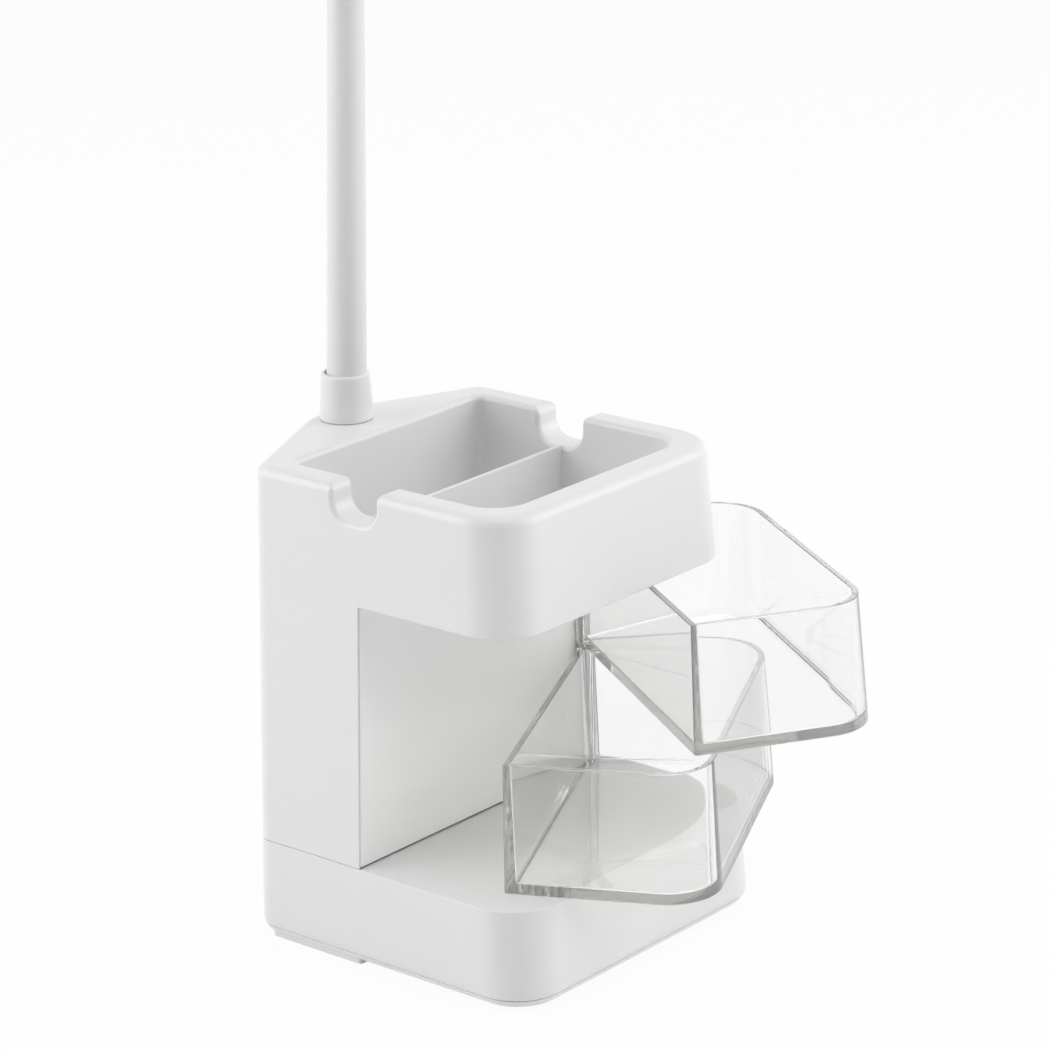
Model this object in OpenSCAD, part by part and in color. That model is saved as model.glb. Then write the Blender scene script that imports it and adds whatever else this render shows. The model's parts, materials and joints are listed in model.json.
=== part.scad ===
// Desk lamp on a drawer base: a C-shaped body with a ballasted foot, a rear column with a
// chamfered prow, and a pen cup that reaches forward over two clear swing-out drawers.
// Millimetres, +Z up, front towards -Y, origin on the table under the middle of the foot.

/* [Body] */
// Width of the body at table level
body_w = 110; // [96:1:130]
// Front face to origin at table level
body_front = 62.8; // [56:0.2:72]
// Tip of the prow to origin at table level, before rounding
body_back = 62.2; // [58:0.2:70]
// Height of the rim and of the deck
body_h = 140.7; // [130:0.1:170]
// Height of the foot
foot_h = 30; // [24:1:40]
// Underside of the pen cup
cup_z = 107; // [98:0.5:112]
// Lean of each side, mm in per mm up
side_draft = 0.045; // [0:0.005:0.06]
// Lean of the front, mm back per mm up
front_draft = 0.063; // [0:0.005:0.08]
// Lean of the prow, mm in per mm up
back_draft = 0.019; // [0:0.005:0.03]
// Slope of the prow's two faces against the width
prow_angle = 24.7; // [18:0.5:30]
// Plan radius of the front corners
front_r = 15; // [8:0.5:20]
// Plan radius where sides meet the prow
shoulder_r = 6; // [3:0.5:9]
// Plan radius at the tip of the prow
prow_r = 25; // [16:1:30]
// Round of the outer rim
rim_r = 3; // [1:0.25:4]
// Round of the lower edge of the foot
edge_r = 6; // [3:0.5:8]
// Outer wall of the column and of the foot
wall = 2.8; // [2:0.2:3.6]
// Open line between two mouldings
seam = 0.2; // [0.1:0.05:0.4]

/* [Column] */
// Front face of the column
col_y = -1.5; // [-4:0.5:2]
// Thickness of the column panel
panel_t = 2; // [1.75:0.25:3]
// Side lip that frames the panel
panel_lip = 0.6; // [0.5:0.1:1.6]
// Ceiling of the hollow in the column
col_ceiling = 101; // [92:1:104]

/* [Pen cup] */
// Width of the rim around the cup
cup_wall = 8.8; // [7:0.2:11]
// Back wall of the cup, from the origin, at the rim
cup_back = 31; // [26:0.5:33]
// Inward lean of the cup walls, mm per mm down
cup_draft = 0.03; // [0:0.01:0.06]
// Front corner radius inside the cup
cup_front_r = 10; // [6:0.5:14]
// Back corner radius inside the cup
cup_back_r = 3; // [2:0.5:6]
// Round between cup floor and walls
cup_floor_r = 3; // [1:0.5:5]
// Round of the inner rim
lip_r = 1.8; // [0.8:0.2:2.4]
// Cup floor above the underside
cup_floor_t = 5; // [4:0.5:8]
// Thickness of the underside plate
under_t = 2; // [1.5:0.25:2.5]
// Thickness of the divider
divider_t = 1.4; // [1:0.1:2]
// How far the divider stays below the rim
divider_drop = 10; // [6:0.5:14]
// How deep the divider sits in its side grooves
divider_grip = 1; // [0.6:0.1:1.4]

/* [Notches] */
// Width of a rim notch between its walls
notch_w = 16; // [10:0.5:18]
// Depth of a rim notch
notch_depth = 10.2; // [6:0.2:12]
// Lower corner radius of a notch
notch_r = 5.5; // [3:0.5:6]
// Round where a notch meets the rim
notch_top_r = 3; // [1.5:0.25:3.5]
// Round of a notch edge on the wall faces
notch_edge_r = 1.6; // [0.6:0.2:2]

/* [Drawers] */
// Pivot axis inside the right side, at table level
pivot_side = 9.6; // [9.4:0.2:12]
// Pivot axis in front of the column face
pivot_gap = 1.8; // [1.7:0.1:2.4]
// Outer radius of the pivot boss
boss_r = 2.5; // [2.3:0.1:2.6]
// Pivot pin diameter
pin_d = 2.5; // [2:0.25:3]
// Running clearance of a drawer on its pin, radial
pin_fit = 0.06; // [0.04:0.01:0.1]
// Space under, between and over the drawers
drawer_gap = 0.7; // [0.7:0.1:1.4]
// Drawer faces behind the body faces
drawer_inset = 0.4; // [0.2:0.1:1]
// Drawer wall at the rim
drawer_rim_t = 1.8; // [1.5:0.1:2.4]
// Drawer wall at the floor
drawer_foot_t = 2.8; // [2.5:0.1:4]
// Drawer floor
drawer_floor_t = 2.2; // [2:0.1:3.5]
// Round between drawer floor and walls, inside
drawer_floor_r = 1; // [0.5:0.25:3]
// Lower drawer, open angle as shown
lower_open = 26.4; // [0:0.1:60]
// Upper drawer, open angle as shown
upper_open = 58; // [0:0.1:60]

/* [Neck] */
// Neck axis behind the origin, at the deck
neck_y = 46.5; // [44:0.1:48]
// Forward lean of the straight run
neck_lean = 2.7; // [0:0.1:6]
// Sleeve radius at the deck
neck_r0 = 5.86; // [5:0.02:6.2]
// Loss of radius per mm along the straight run
neck_taper = 0.0051; // [0:0.0005:0.006]
// First bend, along the neck from the deck
bend_1 = 55; // [40:1:70]
// Second bend
bend_2 = 110; // [90:1:130]
// Third bend, where the curved run starts
bend_3 = 174; // [160:1:220]
// Radius of the curved run
arc_r = 60; // [45:1:80]
// Fourth bend, degrees along the curved run
bend_4 = 42; // [35:1:50]
// Play between the lengths of sleeve at a bend
bend_gap = 0.3; // [0.2:0.05:0.5]
// Radius of the steel core
core_r = 3.2; // [2.5:0.1:3.4]
// Collar radius at the deck
collar_r = 7.9; // [7.6:0.1:8.6]
// Collar radius at its shoulder
collar_top_r = 7.1; // [6.9:0.1:7.4]
// Collar height
collar_h = 13.8; // [10:0.2:18]
// Round of the collar's upper edge
collar_round = 1; // [0.5:0.1:1]
// Radius of the threaded stem below the deck
stem_r = 5; // [4:0.1:5]
// Wire channel in the stem
stem_bore_r = 2.5; // [1.5:0.1:3]

/* [Head] */
// Length of the lamp head
head_l = 120; // [100:1:150]
// Width of the lamp head
head_w = 46; // [40:1:60]
// Thickness of the upper shell
head_top_t = 7; // [6:0.25:9]
// Thickness of the bezel
head_low_t = 6.4; // [6:0.2:8]
// Wall of the head mouldings
head_wall = 1.8; // [1.4:0.1:2.2]
// Round of the head's edges
head_round = 3; // [1.5:0.25:4]
// Width of the bezel's flat rim
bezel_w = 4; // [3:0.25:6]
// Push button radius
button_r = 5; // [4:0.25:6]
// Push button travel
button_travel = 0.8; // [0.5:0.1:1]

/* [Hidden] */

$fn = 48;
eps = 0.01;
big = 400;
white_c = "white";
panel_c = "gainsboro";
steel_c = "silver";
board_c = "seagreen";
rubber_c = "dimgray";

// ---- outlines -------------------------------------------------------------------------
function half_w(z) = body_w / 2 - side_draft * z;
function front_at(z) = -body_front + front_draft * z;
function tip_at(z) = body_back - back_draft * z;
function arc(c, r, a, b, n) =
    [for (k = [0 : n]) c + r * [cos(a + (b - a) * k / n), sin(a + (b - a) * k / n)]];
function lift(points, z) = [for (p = points) [p.x, p.y, z]];

// Plan of the body at height z, all faces moved in by i.
function body_ring(z, i, front = undef, corner = undef) = let (
    w = half_w(z) - i,
    f = is_undef(front) ? front_at(z) + i : front,
    tip = tip_at(z) - i / cos(prow_angle),
    s = tip - w * tan(prow_angle),
    rf = max((is_undef(corner) ? front_r : corner) - i, 0.8),
    rs = max(shoulder_r - i, 0.8),
    rp = max(prow_r - i, 2),
    t = rs * tan((90 - prow_angle) / 2)
) lift(concat(
    arc([w - rf, f + rf], rf, -90, 0, 10),
    arc([w - rs, s - t], rs, 0, 90 - prow_angle, 5),
    arc([0, tip - rp / cos(prow_angle)], rp, 90 - prow_angle, 90 + prow_angle, 6),
    arc([-w + rs, s - t], rs, 90 + prow_angle, 180, 5),
    arc([-w + rf, f + rf], rf, 180, 270, 10)), z);

// Rounded rectangle with its own front and back radii.
function box_ring(z, w, f, b, rf, rb) = lift(concat(
    arc([w - rf, f + rf], rf, -90, 0, 8),
    arc([w - rb, b - rb], rb, 0, 90, 5),
    arc([-w + rb, b - rb], rb, 90, 180, 5),
    arc([-w + rf, f + rf], rf, 180, 270, 8)), z);

// Skin over a stack of rings that run anticlockwise, seen from the far end.
module loft(rings) {
    n = len(rings[0]);
    m = len(rings);
    points = [for (ring = rings) each ring];
    sides = [for (k = [0 : m - 2]) for (j = [0 : n - 1])
        let (a = k * n + j, b = k * n + (j + 1) % n)
        each [[a, a + n, b + n], [a, b + n, b]]];
    low = [for (j = [0 : n - 1]) j];
    high = [for (j = [n - 1 : -1 : 0]) (m - 1) * n + j];
    polyhedron(points, concat([low], sides, [high]), convexity = 8);
}

// ---- foot -----------------------------------------------------------------------------
cover_z = 0.6;
cover_t = 3.2;
foot_top_t = 3;
pad_sink = 1;
pad_w = 38;
pad_front = -36;
pad_back = 34;
pad_r = 8;
shell_z = cover_z + cover_t + seam;
cavity_top = foot_h - foot_top_t;
screw_r = 1.5;
screw_hole_r = 1.7;
pilot_r = screw_r + 0.02;
post_r = 4;
// Four places, mirrored across the width.
function both(right) = [each right, for (p = right) [-p.x, p.y]];
cover_post = both([[half_w(0) - 9, front_at(0) + 16.8], [half_w(0) - 9, 30]]);
ballast_hole_x = 26;
ballast_hole_front = -34;
ballast_hole_back = 18;
ballast_post = both([[ballast_hole_x, ballast_hole_front],
    [ballast_hole_x, ballast_hole_back]]);
ballast_w = 74;
ballast_front = -46;
ballast_back = 32;
ballast_t = 8;
ballast_z = cover_z + cover_t + seam;
screw_reach = 10;
head_h = 1.7;
head_r = 3;

// Inset of the foot's rounded lower edge.
function edge_inset(z) = let (d = max(edge_r - (z - cover_z), 0))
    edge_r - sqrt(max(edge_r * edge_r - d * d, 0));
function edge_levels(a, b, n) = [for (k = [0 : n]) a + (b - a) * k / n];

module countersunk(length) {
    cylinder(h = head_h, r1 = head_r, r2 = screw_r);
    cylinder(h = length, r = screw_r);
}

module pan_screw(length) {
    translate([0, 0, -head_h])
        cylinder(h = head_h, r = head_r);
    cylinder(h = length, r = screw_r);
}

module base_shell() {
    color(white_c)
    difference() {
        union() {
            difference() {
                loft(concat(
                    [for (z = edge_levels(shell_z, cover_z + edge_r, 4))
                        body_ring(z, edge_inset(z))],
                    [body_ring(foot_h, 0)]));
                loft([body_ring(0, wall + edge_r / 3), body_ring(shell_z + edge_r, wall),
                    body_ring(cavity_top, wall)]);
            }
            for (p = cover_post)
                translate([p.x, p.y, shell_z + seam])
                    cylinder(h = cavity_top - shell_z, r = post_r);
            for (p = ballast_post)
                translate([p.x, p.y, ballast_z + ballast_t + seam])
                    cylinder(h = cavity_top - ballast_z - ballast_t, r = post_r);
            translate([pivot_x, pivot_y, pin_z])
                cylinder(h = foot_h - pin_z, r = post_r + 1);
            for (x = [-rib_x, rib_x])
                translate([x - rib_t / 2, rib_front, rib_z])
                    cube([rib_t, rib_back - rib_front, cavity_top + eps - rib_z]);
            translate([-rib_x, rib_y - rib_t / 2, rib_z])
                cube([2 * rib_x, rib_t, cavity_top + eps - rib_z]);
        }
        for (p = cover_post)
            translate([p.x, p.y, 0])
                cylinder(h = screw_reach + cover_z + 1, r = pilot_r);
        for (p = ballast_post)
            translate([p.x, p.y, 0])
                cylinder(h = cavity_top - 1, r = pilot_r);
        translate([pivot_x, pivot_y, pin_z + 2])
            cylinder(h = foot_h, r = pin_d / 2 + pin_seat);
        for (p = column_post)
            translate([p.x, p.y, 0])
                cylinder(h = foot_h + 1, r = screw_hole_r);
        translate([0, wire_y, 0])
            cylinder(h = foot_h + 1, r = wire_hole_r);
    }
}
rib_x = 26;
rib_t = 1.6;
rib_z = 14;
rib_front = -54;
rib_back = 38;
rib_y = -8;
wire_y = 24;
wire_hole_r = 4;

module bottom_cover() {
    color(white_c)
    difference() {
        loft([for (z = edge_levels(cover_z, cover_z + cover_t, 4))
            body_ring(z, edge_inset(z))]);
        pad_shape(seam);
        for (p = cover_post)
            translate([p.x, p.y, cover_z]) {
                translate([0, 0, -eps])
                    cylinder(h = head_h + eps + seam, r1 = head_r + seam,
                        r2 = screw_hole_r);
                cylinder(h = cover_t + 1, r = screw_hole_r);
            }
    }
}

// Rubber pad under the cover, grown by o.
module pad_shape(o) {
    linear_extrude(height = cover_z + pad_sink)
        polygon([for (p = box_ring(0, pad_w + o, pad_front - o, pad_back + o, pad_r, pad_r))
            [p.x, p.y]]);
}

module foot_pad() {
    color(rubber_c)
        pad_shape(0);
}

module ballast_plate() {
    color(steel_c)
    difference() {
        translate([-ballast_w / 2, ballast_front, ballast_z])
            cube([ballast_w, ballast_back - ballast_front, ballast_t]);
        for (p = ballast_post)
            translate([p.x, p.y, ballast_z]) {
                translate([0, 0, -eps])
                    cylinder(h = head_h + eps + seam, r1 = head_r + seam,
                        r2 = screw_hole_r);
                cylinder(h = ballast_t + 1, r = screw_hole_r);
            }
    }
}

module ballast_screws() {
    color(steel_c)
    for (p = ballast_post)
        translate([p.x, p.y, ballast_z])
            countersunk(ballast_t + screw_reach);
}

module cover_screws() {
    color(steel_c)
    for (p = cover_post)
        translate([p.x, p.y, cover_z])
            countersunk(screw_reach);
}

// ---- column and cup -------------------------------------------------------------------
// Posts that run into the side walls and into the prow.
post_bite = 0.45;
rear_post_x = 19.5;
column_post = both([[half_w(foot_h) - wall - post_r + post_bite, 8],
    [rear_post_x, tip_at(foot_h) - (wall + post_r - post_bite) / cos(prow_angle)
        - rear_post_x * tan(prow_angle)]]);
column_post_h = 14;
pin_seat = 0.02;
pivot_x = body_w / 2 - pivot_side;
pivot_y = col_y - pivot_gap;
pin_z = 12;
pin_top = cup_z + under_t + 5;
cup_floor = cup_z + cup_floor_t;
rim_steps = 5;

function rim_levels() = [for (k = [0 : rim_steps]) let (a = 90 * k / rim_steps)
    [body_h - rim_r + rim_r * sin(a), rim_r * (1 - cos(a))]];
function cup_half(z) = half_w(body_h) - cup_wall - cup_draft * (body_h - z);
function cup_front(z) = front_at(body_h) + cup_wall + cup_draft * (body_h - z);
function cup_rear(z) = cup_back - cup_draft * (body_h - z);
// Plan of the cup's hollow at z, walls moved in by i.
function cup_ring(z, i) = box_ring(z, cup_half(z) - i, cup_front(z) + i, cup_rear(z) - i,
    max(cup_front_r - i, 1), max(cup_back_r - i, 0.4));
function cup_levels() = concat(
    [for (k = [0 : 3]) let (a = 90 * k / 3)
        [cup_floor + cup_floor_r * (1 - cos(a)), cup_floor_r * (1 - sin(a))]],
    [for (k = [0 : 4]) let (a = 90 * k / 4)
        [body_h - lip_r + lip_r * sin(a), -lip_r * (1 - cos(a))]],
    [[body_h + 1, -lip_r]]);

// Outline of a notch across its wall, grown by o, as [y, z] from its top down and up.
function notch_line(o) = let (
    w = notch_w / 2 + o,
    z0 = body_h - notch_depth - o,
    r = notch_r + o,
    t = max(notch_top_r - o, 0.2)
) concat(
    [[-w - t, body_h + 1]],
    [for (k = [0 : 4]) let (a = 90 - 90 * k / 4)
        [-w - t + t * cos(a), body_h - t + t * sin(a)]],
    [for (k = [0 : 6]) let (a = 180 + 90 * k / 6)
        [-w + r + r * cos(a), z0 + r + r * sin(a)]],
    [for (k = [0 : 6]) let (a = 270 + 90 * k / 6)
        [w - r + r * cos(a), z0 + r + r * sin(a)]],
    [for (k = [0 : 4]) let (a = 180 - 90 * k / 4)
        [w + t + t * cos(a), body_h - t + t * sin(a)]],
    [[w + t, body_h + 1]]);
// Depth and growth of the notch from the inner face to the outer face of the wall. Its
// rounds start a little outside each face, so they cut the face at a clear angle.
notch_skin = 0.12;
function notch_levels() = let (r = notch_edge_r) concat(
    [[0, -4, r]],
    [for (k = [0 : 3]) let (a = 90 * k / 3) [0, r * (1 - cos(a)) - notch_skin, r * (1 - sin(a))]],
    [for (k = [0 : 3]) let (a = 90 * k / 3) [1, r * (sin(a) - 1) + notch_skin, r * (1 - cos(a))]],
    [[1, 4, r]]);
function notch_x(side, d, z) =
    (side == 0 ? cup_half(min(z, body_h)) : half_w(min(z, body_h))) + d;

module notch() {
    loft([for (l = notch_levels())
        [for (p = notch_line(l[2])) [notch_x(l[0], l[1], p[1]), p[0], p[1]]]]);
}

module pivot_bore(r) {
    translate([pivot_x, pivot_y, 0])
        cylinder(h = pin_top + seam, r = r);
}

module housing() {
    low = foot_h + seam;
    color(white_c)
    difference() {
        union() {
            difference() {
                loft(concat([body_ring(low, 0)],
                    [for (l = rim_levels()) body_ring(l[0], l[1])]));
                translate([-big / 2, col_y - big, 0])
                    cube([big, big, cup_z]);
                loft([body_ring(0, wall, col_y + panel_t + seam, wall + 1),
                    body_ring(col_ceiling, wall, col_y + panel_t + seam, wall + 1)]);
            }
            for (p = column_post)
                translate([p.x, p.y, low])
                    cylinder(h = column_post_h, r = post_r);
        }
        panel_shape(panel_lip - seam, -1, panel_t + seam, low - 1, cup_z);
        panel_window();
        loft([under_ring(cup_z - 1, panel_lip - seam),
            under_ring(cup_z + under_t + seam, panel_lip - seam)]);
        loft([for (l = cup_levels()) cup_ring(l[0], l[1])]);
        notch();
        mirror([1, 0, 0])
            notch();
        translate([0, 0, cup_floor])
            divider_groove();
        for (p = column_post)
            translate([p.x, p.y, 0])
                cylinder(h = low + column_post_h - 2, r = pilot_r);
        pivot_bore(pin_d / 2 + pin_seat);
        translate([0, neck_y, col_ceiling - 1])
            cylinder(h = body_h, r = stem_r + seam);
        inlet_place()
            cylinder(h = 20, r = inlet_r + seam, center = true);
    }
}

// Opening behind the column panel, inside its ledge.
module panel_window() {
    ledge = 1.6;
    panel_shape(panel_lip + ledge, 0, panel_t + 2, foot_h + 4, cup_z - 4);
}

// Plate across the column: inset i, from y0 to y1 behind the column face, za to zb high.
module panel_shape(i, y0, y1, za, zb) {
    translate([0, col_y + y1, 0])
        rotate([90, 0, 0])
            linear_extrude(height = y1 - y0)
                polygon([[-half_w(za) + i, za], [half_w(za) - i, za],
                    [half_w(zb) - i, zb], [-half_w(zb) + i, zb]]);
}

module column_panel() {
    color(panel_c)
    difference() {
        panel_shape(panel_lip, 0, panel_t, foot_h + 2 * seam, cup_z - seam);
        translate([pivot_x, pivot_y, 0])
            cylinder(h = body_h, r = boss_r + hinge_gap);
    }
}

// Plan of the plate under the cup, inset i.
function under_ring(z, i) = box_ring(z, half_w(z) - i, front_at(z) + i,
    col_y + panel_t + seam - panel_lip + (panel_lip - i), front_r - i, 1);

module cup_underside() {
    color(panel_c)
    difference() {
        loft([under_ring(cup_z, panel_lip), under_ring(cup_z + under_t, panel_lip)]);
        pivot_bore(pin_d / 2 + pin_seat);
    }
}

divider_top = body_h - divider_drop;

// Groove for the divider, measured from the cup floor.
module divider_groove() {
    top = body_h - cup_floor + 1;
    translate([0, (divider_t + seam) / 2, 0])
        rotate([90, 0, 0])
            linear_extrude(height = divider_t + seam)
                polygon([[-cup_half(cup_floor) - divider_grip - seam, 0],
                    [cup_half(cup_floor) + divider_grip + seam, 0],
                    [cup_half(divider_top) + divider_grip + seam, divider_top - cup_floor],
                    [-cup_half(divider_top) - divider_grip - seam,
                        divider_top - cup_floor]]);
}

module cup_divider() {
    color(white_c)
    translate([0, divider_t / 2, 0])
        rotate([90, 0, 0])
            linear_extrude(height = divider_t)
                polygon([[-cup_half(cup_floor) - divider_grip, cup_floor + seam],
                    [cup_half(cup_floor) + divider_grip, cup_floor + seam],
                    [cup_half(divider_top) + divider_grip, divider_top],
                    [-cup_half(divider_top) - divider_grip, divider_top]]);
}

module housing_screws() {
    color(steel_c)
    for (p = column_post)
        translate([p.x, p.y, cavity_top])
            pan_screw(foot_top_t + screw_reach);
}

// ---- drawers --------------------------------------------------------------------------
drawer_h = (cup_z - foot_h - 3 * drawer_gap) / 2;
lower_z = foot_h + drawer_gap;
upper_z = lower_z + drawer_h + drawer_gap;
drawer_back = col_y - 0.5;
drawer_sharp_r = 0.8;
// Groove in the panel that the hinge boss turns in, wider than the boss.
hinge_gap = 0.6;
// The round boss stays just inside the drawn outline of the drawer.
boss_step = 0.05;

module pivot_pin() {
    chamfer = 0.4;
    r = pin_d / 2;
    color(steel_c)
    translate([pivot_x, pivot_y, pin_z + 2])
        rotate_extrude()
            polygon([[0, 0], [r - chamfer, 0], [r, chamfer],
                [r, pin_top - pin_z - 2 - chamfer],
                [r - chamfer, pin_top - pin_z - 2], [0, pin_top - pin_z - 2]]);
}

module pivot_washers() {
    t = drawer_gap - 2 * seam;
    color(steel_c)
    for (z = [foot_h, lower_z + drawer_h, upper_z + drawer_h])
        translate([pivot_x, pivot_y, z + seam])
            difference() {
                cylinder(h = t, r = boss_r);
                translate([0, 0, -1])
                    cylinder(h = t + 2, r = pin_d / 2 + pin_fit);
            }
}

// Plan of a closed drawer at z, walls moved in by t. The right side runs from the front
// corner straight onto the round of the pivot corner, so the corner swings clear.
function drawer_ring(z, t) = let (
    w = half_w(z) - drawer_inset,
    f = front_at(z) + drawer_inset,
    rf = front_r - t,
    c = [w - front_r, f + front_r],
    rp = t > 0 ? 1.5 : boss_r,
    p = t > 0 ? [pivot_x + boss_r - t - rp, drawer_back - t - rp] : [pivot_x, pivot_y],
    end = t > 0 ? 90 : asin((drawer_back - pivot_y) / boss_r),
    d = p - c,
    nu = atan2(d.y, d.x) - acos((rf - rp) / norm(d)),
    rb = max(drawer_sharp_r - t, 0.5)
) lift(concat(
    arc(c, rf, -90, nu, 9),
    arc(p, rp, nu, end, 7),
    arc([-w + t + rb, drawer_back - t - rb], rb, 90, 180, 2),
    arc([-w + front_r, f + front_r], rf, 180, 270, 9)), z);

module drawer(z0, angle) {
    floor_z = z0 + drawer_floor_t;
    top = z0 + drawer_h;
    slope = (drawer_foot_t - drawer_rim_t) / (drawer_h - drawer_floor_t);
    translate([pivot_x, pivot_y, 0])
    rotate([0, 0, angle])
    translate([-pivot_x, -pivot_y, 0])
    difference() {
        union() {
            difference() {
                loft([drawer_ring(z0, 0), drawer_ring(top, 0)]);
                loft(concat(
                    [for (k = [0 : 3]) let (a = 90 * k / 3,
                            z = floor_z + drawer_floor_r * (1 - cos(a)))
                        drawer_ring(z, drawer_foot_t + drawer_floor_r * (1 - sin(a))
                            - slope * (z - floor_z))],
                    [drawer_ring(top, drawer_rim_t),
                        lift(drawer_ring(top, drawer_rim_t), top + 1)]));
            }
            translate([pivot_x, pivot_y, z0 + boss_step])
                cylinder(h = drawer_h - 2 * boss_step, r = boss_r - boss_step);
        }
        translate([pivot_x, pivot_y, z0 - 1])
            cylinder(h = drawer_h + 2, r = pin_d / 2 + pin_fit);
    }
}

module lower_drawer() {
    color("lightcyan", 0.5)
        drawer(lower_z, lower_open);
}

module upper_drawer() {
    color("lightcyan", 0.5)
        drawer(upper_z, upper_open);
}

// ---- neck -----------------------------------------------------------------------------
function neck_r(s) = neck_r0 - neck_taper * min(s, bend_3);
arc_end = 90 - neck_lean;
arc_y = neck_y - bend_3 * sin(neck_lean) - arc_r * cos(neck_lean);
arc_z = body_h + bend_3 * cos(neck_lean) - arc_r * sin(neck_lean);
end_y = arc_y;
end_z = arc_z + arc_r;
core_gap = 0.1;
dome_steps = 8;

// Stand on the straight run, s from the deck.
module on_neck(s) {
    translate([0, neck_y - s * sin(neck_lean), body_h + s * cos(neck_lean)])
        rotate([neck_lean, 0, 0])
            children();
}

// Stand on the curved run, a degrees from its start.
module on_arc(a) {
    translate([0, arc_y + arc_r * cos(neck_lean + a), arc_z + arc_r * sin(neck_lean + a)])
        rotate([neck_lean + a, 0, 0])
            children();
}

// Tube of radius r along the curved run from a to b.
module arc_tube(r, a, b) {
    translate([0, arc_y, arc_z])
        rotate([90, 0, 90])
            rotate([0, 0, neck_lean + a])
                rotate_extrude(angle = b - a, $fn = 96)
                    translate([arc_r, 0])
                        circle(r = r, $fn = 48);
}

// Profile of one straight length of sleeve, from s = a to s = b: a hollow start that
// turns on the dome of the length before it, and a dome of its own.
function sleeve_profile(a, b, hollow, dome) = let (
    ra = neck_r(a) + bend_gap,
    rb = neck_r(b),
    h = sqrt(ra * ra - pow(neck_r(a), 2)),
    a0 = asin(h / ra)
) concat(
    hollow ? [for (k = [dome_steps : -1 : 0]) let (t = a0 + (90 - a0) * k / dome_steps)
        [ra * cos(t), ra * sin(t)]] : [[0, 0], [neck_r(a), 0]],
    dome ? [for (k = [0 : dome_steps]) let (t = 90 * k / dome_steps)
        [rb * cos(t), b - a + rb * sin(t)]] : [[rb, b - a], [0, b - a]]);

module sleeve_length(a, b, hollow, dome) {
    on_neck(a)
        difference() {
            rotate_extrude()
                polygon(sleeve_profile(a, b, hollow, dome));
            translate([0, 0, -eps])
                cylinder(h = core_to(b) - a + core_gap, r = core_r + core_gap);
        }
}

module core_length(a, b, hollow) {
    on_neck(core_from(a, hollow))
        cylinder(h = core_to(b) - core_from(a, hollow), r = core_r);
}
function core_from(a, hollow) = hollow ? a + neck_r(a) + 2 : a;
function core_to(b) = b - 1;

module neck_sleeve_1() {
    color(white_c)
        sleeve_length(sleeve_foot, bend_1, false, true);
}
sleeve_foot = 1;
module neck_sleeve_2() {
    color(white_c)
        sleeve_length(bend_1, bend_2, true, true);
}
module neck_sleeve_3() {
    color(white_c)
        sleeve_length(bend_2, bend_3, true, true);
}

// Sleeve from the third bend round to the fourth, with a ball that the next one turns on.
module neck_sleeve_4() {
    r = neck_r(bend_3);
    color(white_c)
    difference() {
        union() {
            arc_tube(r, 0, bend_4);
            on_arc(bend_4)
                sphere(r = r - ball_step);
        }
        on_arc(0)
            sphere(r = r + bend_gap);
        arc_tube(core_r + core_gap, 0, bend_4 - core_short + 0.1);
    }
}

module neck_sleeve_5() {
    r = neck_r(bend_3);
    color(white_c)
    difference() {
        arc_tube(r, bend_4, arc_end);
        on_arc(bend_4)
            sphere(r = r + bend_gap);
        arc_tube(core_r + core_gap, bend_4, arc_end + 1);
    }
}
ball_step = 0.05;
core_lead = 8;
core_short = 2;

module neck_core_1() {
    color(steel_c)
        core_length(sleeve_foot, bend_1, false);
}
module neck_core_2() {
    color(steel_c)
        core_length(bend_1, bend_2, true);
}
module neck_core_3() {
    color(steel_c)
        core_length(bend_2, bend_3, true);
}
module neck_core_4() {
    color(steel_c)
        arc_tube(core_r, core_lead, bend_4 - core_short);
}
module neck_core_5() {
    color(steel_c)
        arc_tube(core_r, bend_4 + core_lead, arc_end);
}

module neck_collar() {
    inner = neck_r0 + collar_fit;
    color(white_c)
    translate([0, neck_y, body_h + seam / 2])
        difference() {
            rotate_extrude()
                polygon(concat([[inner, 0], [collar_r, 0]],
                    [for (k = [0 : 5]) let (t = 90 * k / 5)
                        [collar_top_r - collar_round + collar_round * cos(t),
                            collar_h - collar_round + collar_round * sin(t)]],
                    [[inner, collar_h]]));
            translate([0, 0, -1])
                rotate([neck_lean, 0, 0])
                    cylinder(h = 2 * collar_h, r = inner);
        }
}
collar_fit = 0.1;

// Threaded stem on the foot of the neck, through the deck, with a nut under it.
stem_foot = 92;
module neck_stem() {
    color(steel_c)
    difference() {
        union() {
            translate([0, neck_y, stem_foot])
                cylinder(h = body_h - stem_foot, r = stem_r);
            translate([0, neck_y, body_h])
                cylinder(h = 0.8, r = stem_r);
        }
        translate([0, neck_y, stem_foot - 1])
            cylinder(h = body_h - stem_foot + 4, r = stem_bore_r);
    }
}

nut_r = 9;
nut_t = 5;
module neck_nut() {
    color(steel_c)
    translate([0, neck_y, col_ceiling - nut_t - seam])
        difference() {
            cylinder(h = nut_t, r = nut_r, $fn = 6);
            translate([0, 0, -1])
                cylinder(h = nut_t + 2, r = stem_r + 0.05);
        }
}

// ---- head -----------------------------------------------------------------------------
socket_r = 5.2;
socket_l = 12;
head_split = end_z;
head_rear = end_y - 2;
tab = 8;
board_t = 1;
plate_t = 1.5;
diffuser_t = 2;

// Plan of the head at z, moved in by i: a long oval with a flatter rear.
function head_ring(z, i) = let (
    w = head_w / 2 - i,
    rf = head_w / 2 - i,
    rr = 14 - i,
    f = head_rear - head_l + i,
    b = head_rear - i
) lift(concat(
    arc([w - rf, f + rf], rf, -90, 0, 14),
    arc([w - rr, b - rr], rr, 0, 90, 8),
    arc([-w + rr, b - rr], rr, 90, 180, 8),
    arc([-w + rf, f + rf], rf, 180, 270, 14)), z);

module on_socket(y) {
    translate([0, y, end_z])
        rotate([90, 0, 0])
            children();
}

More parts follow.
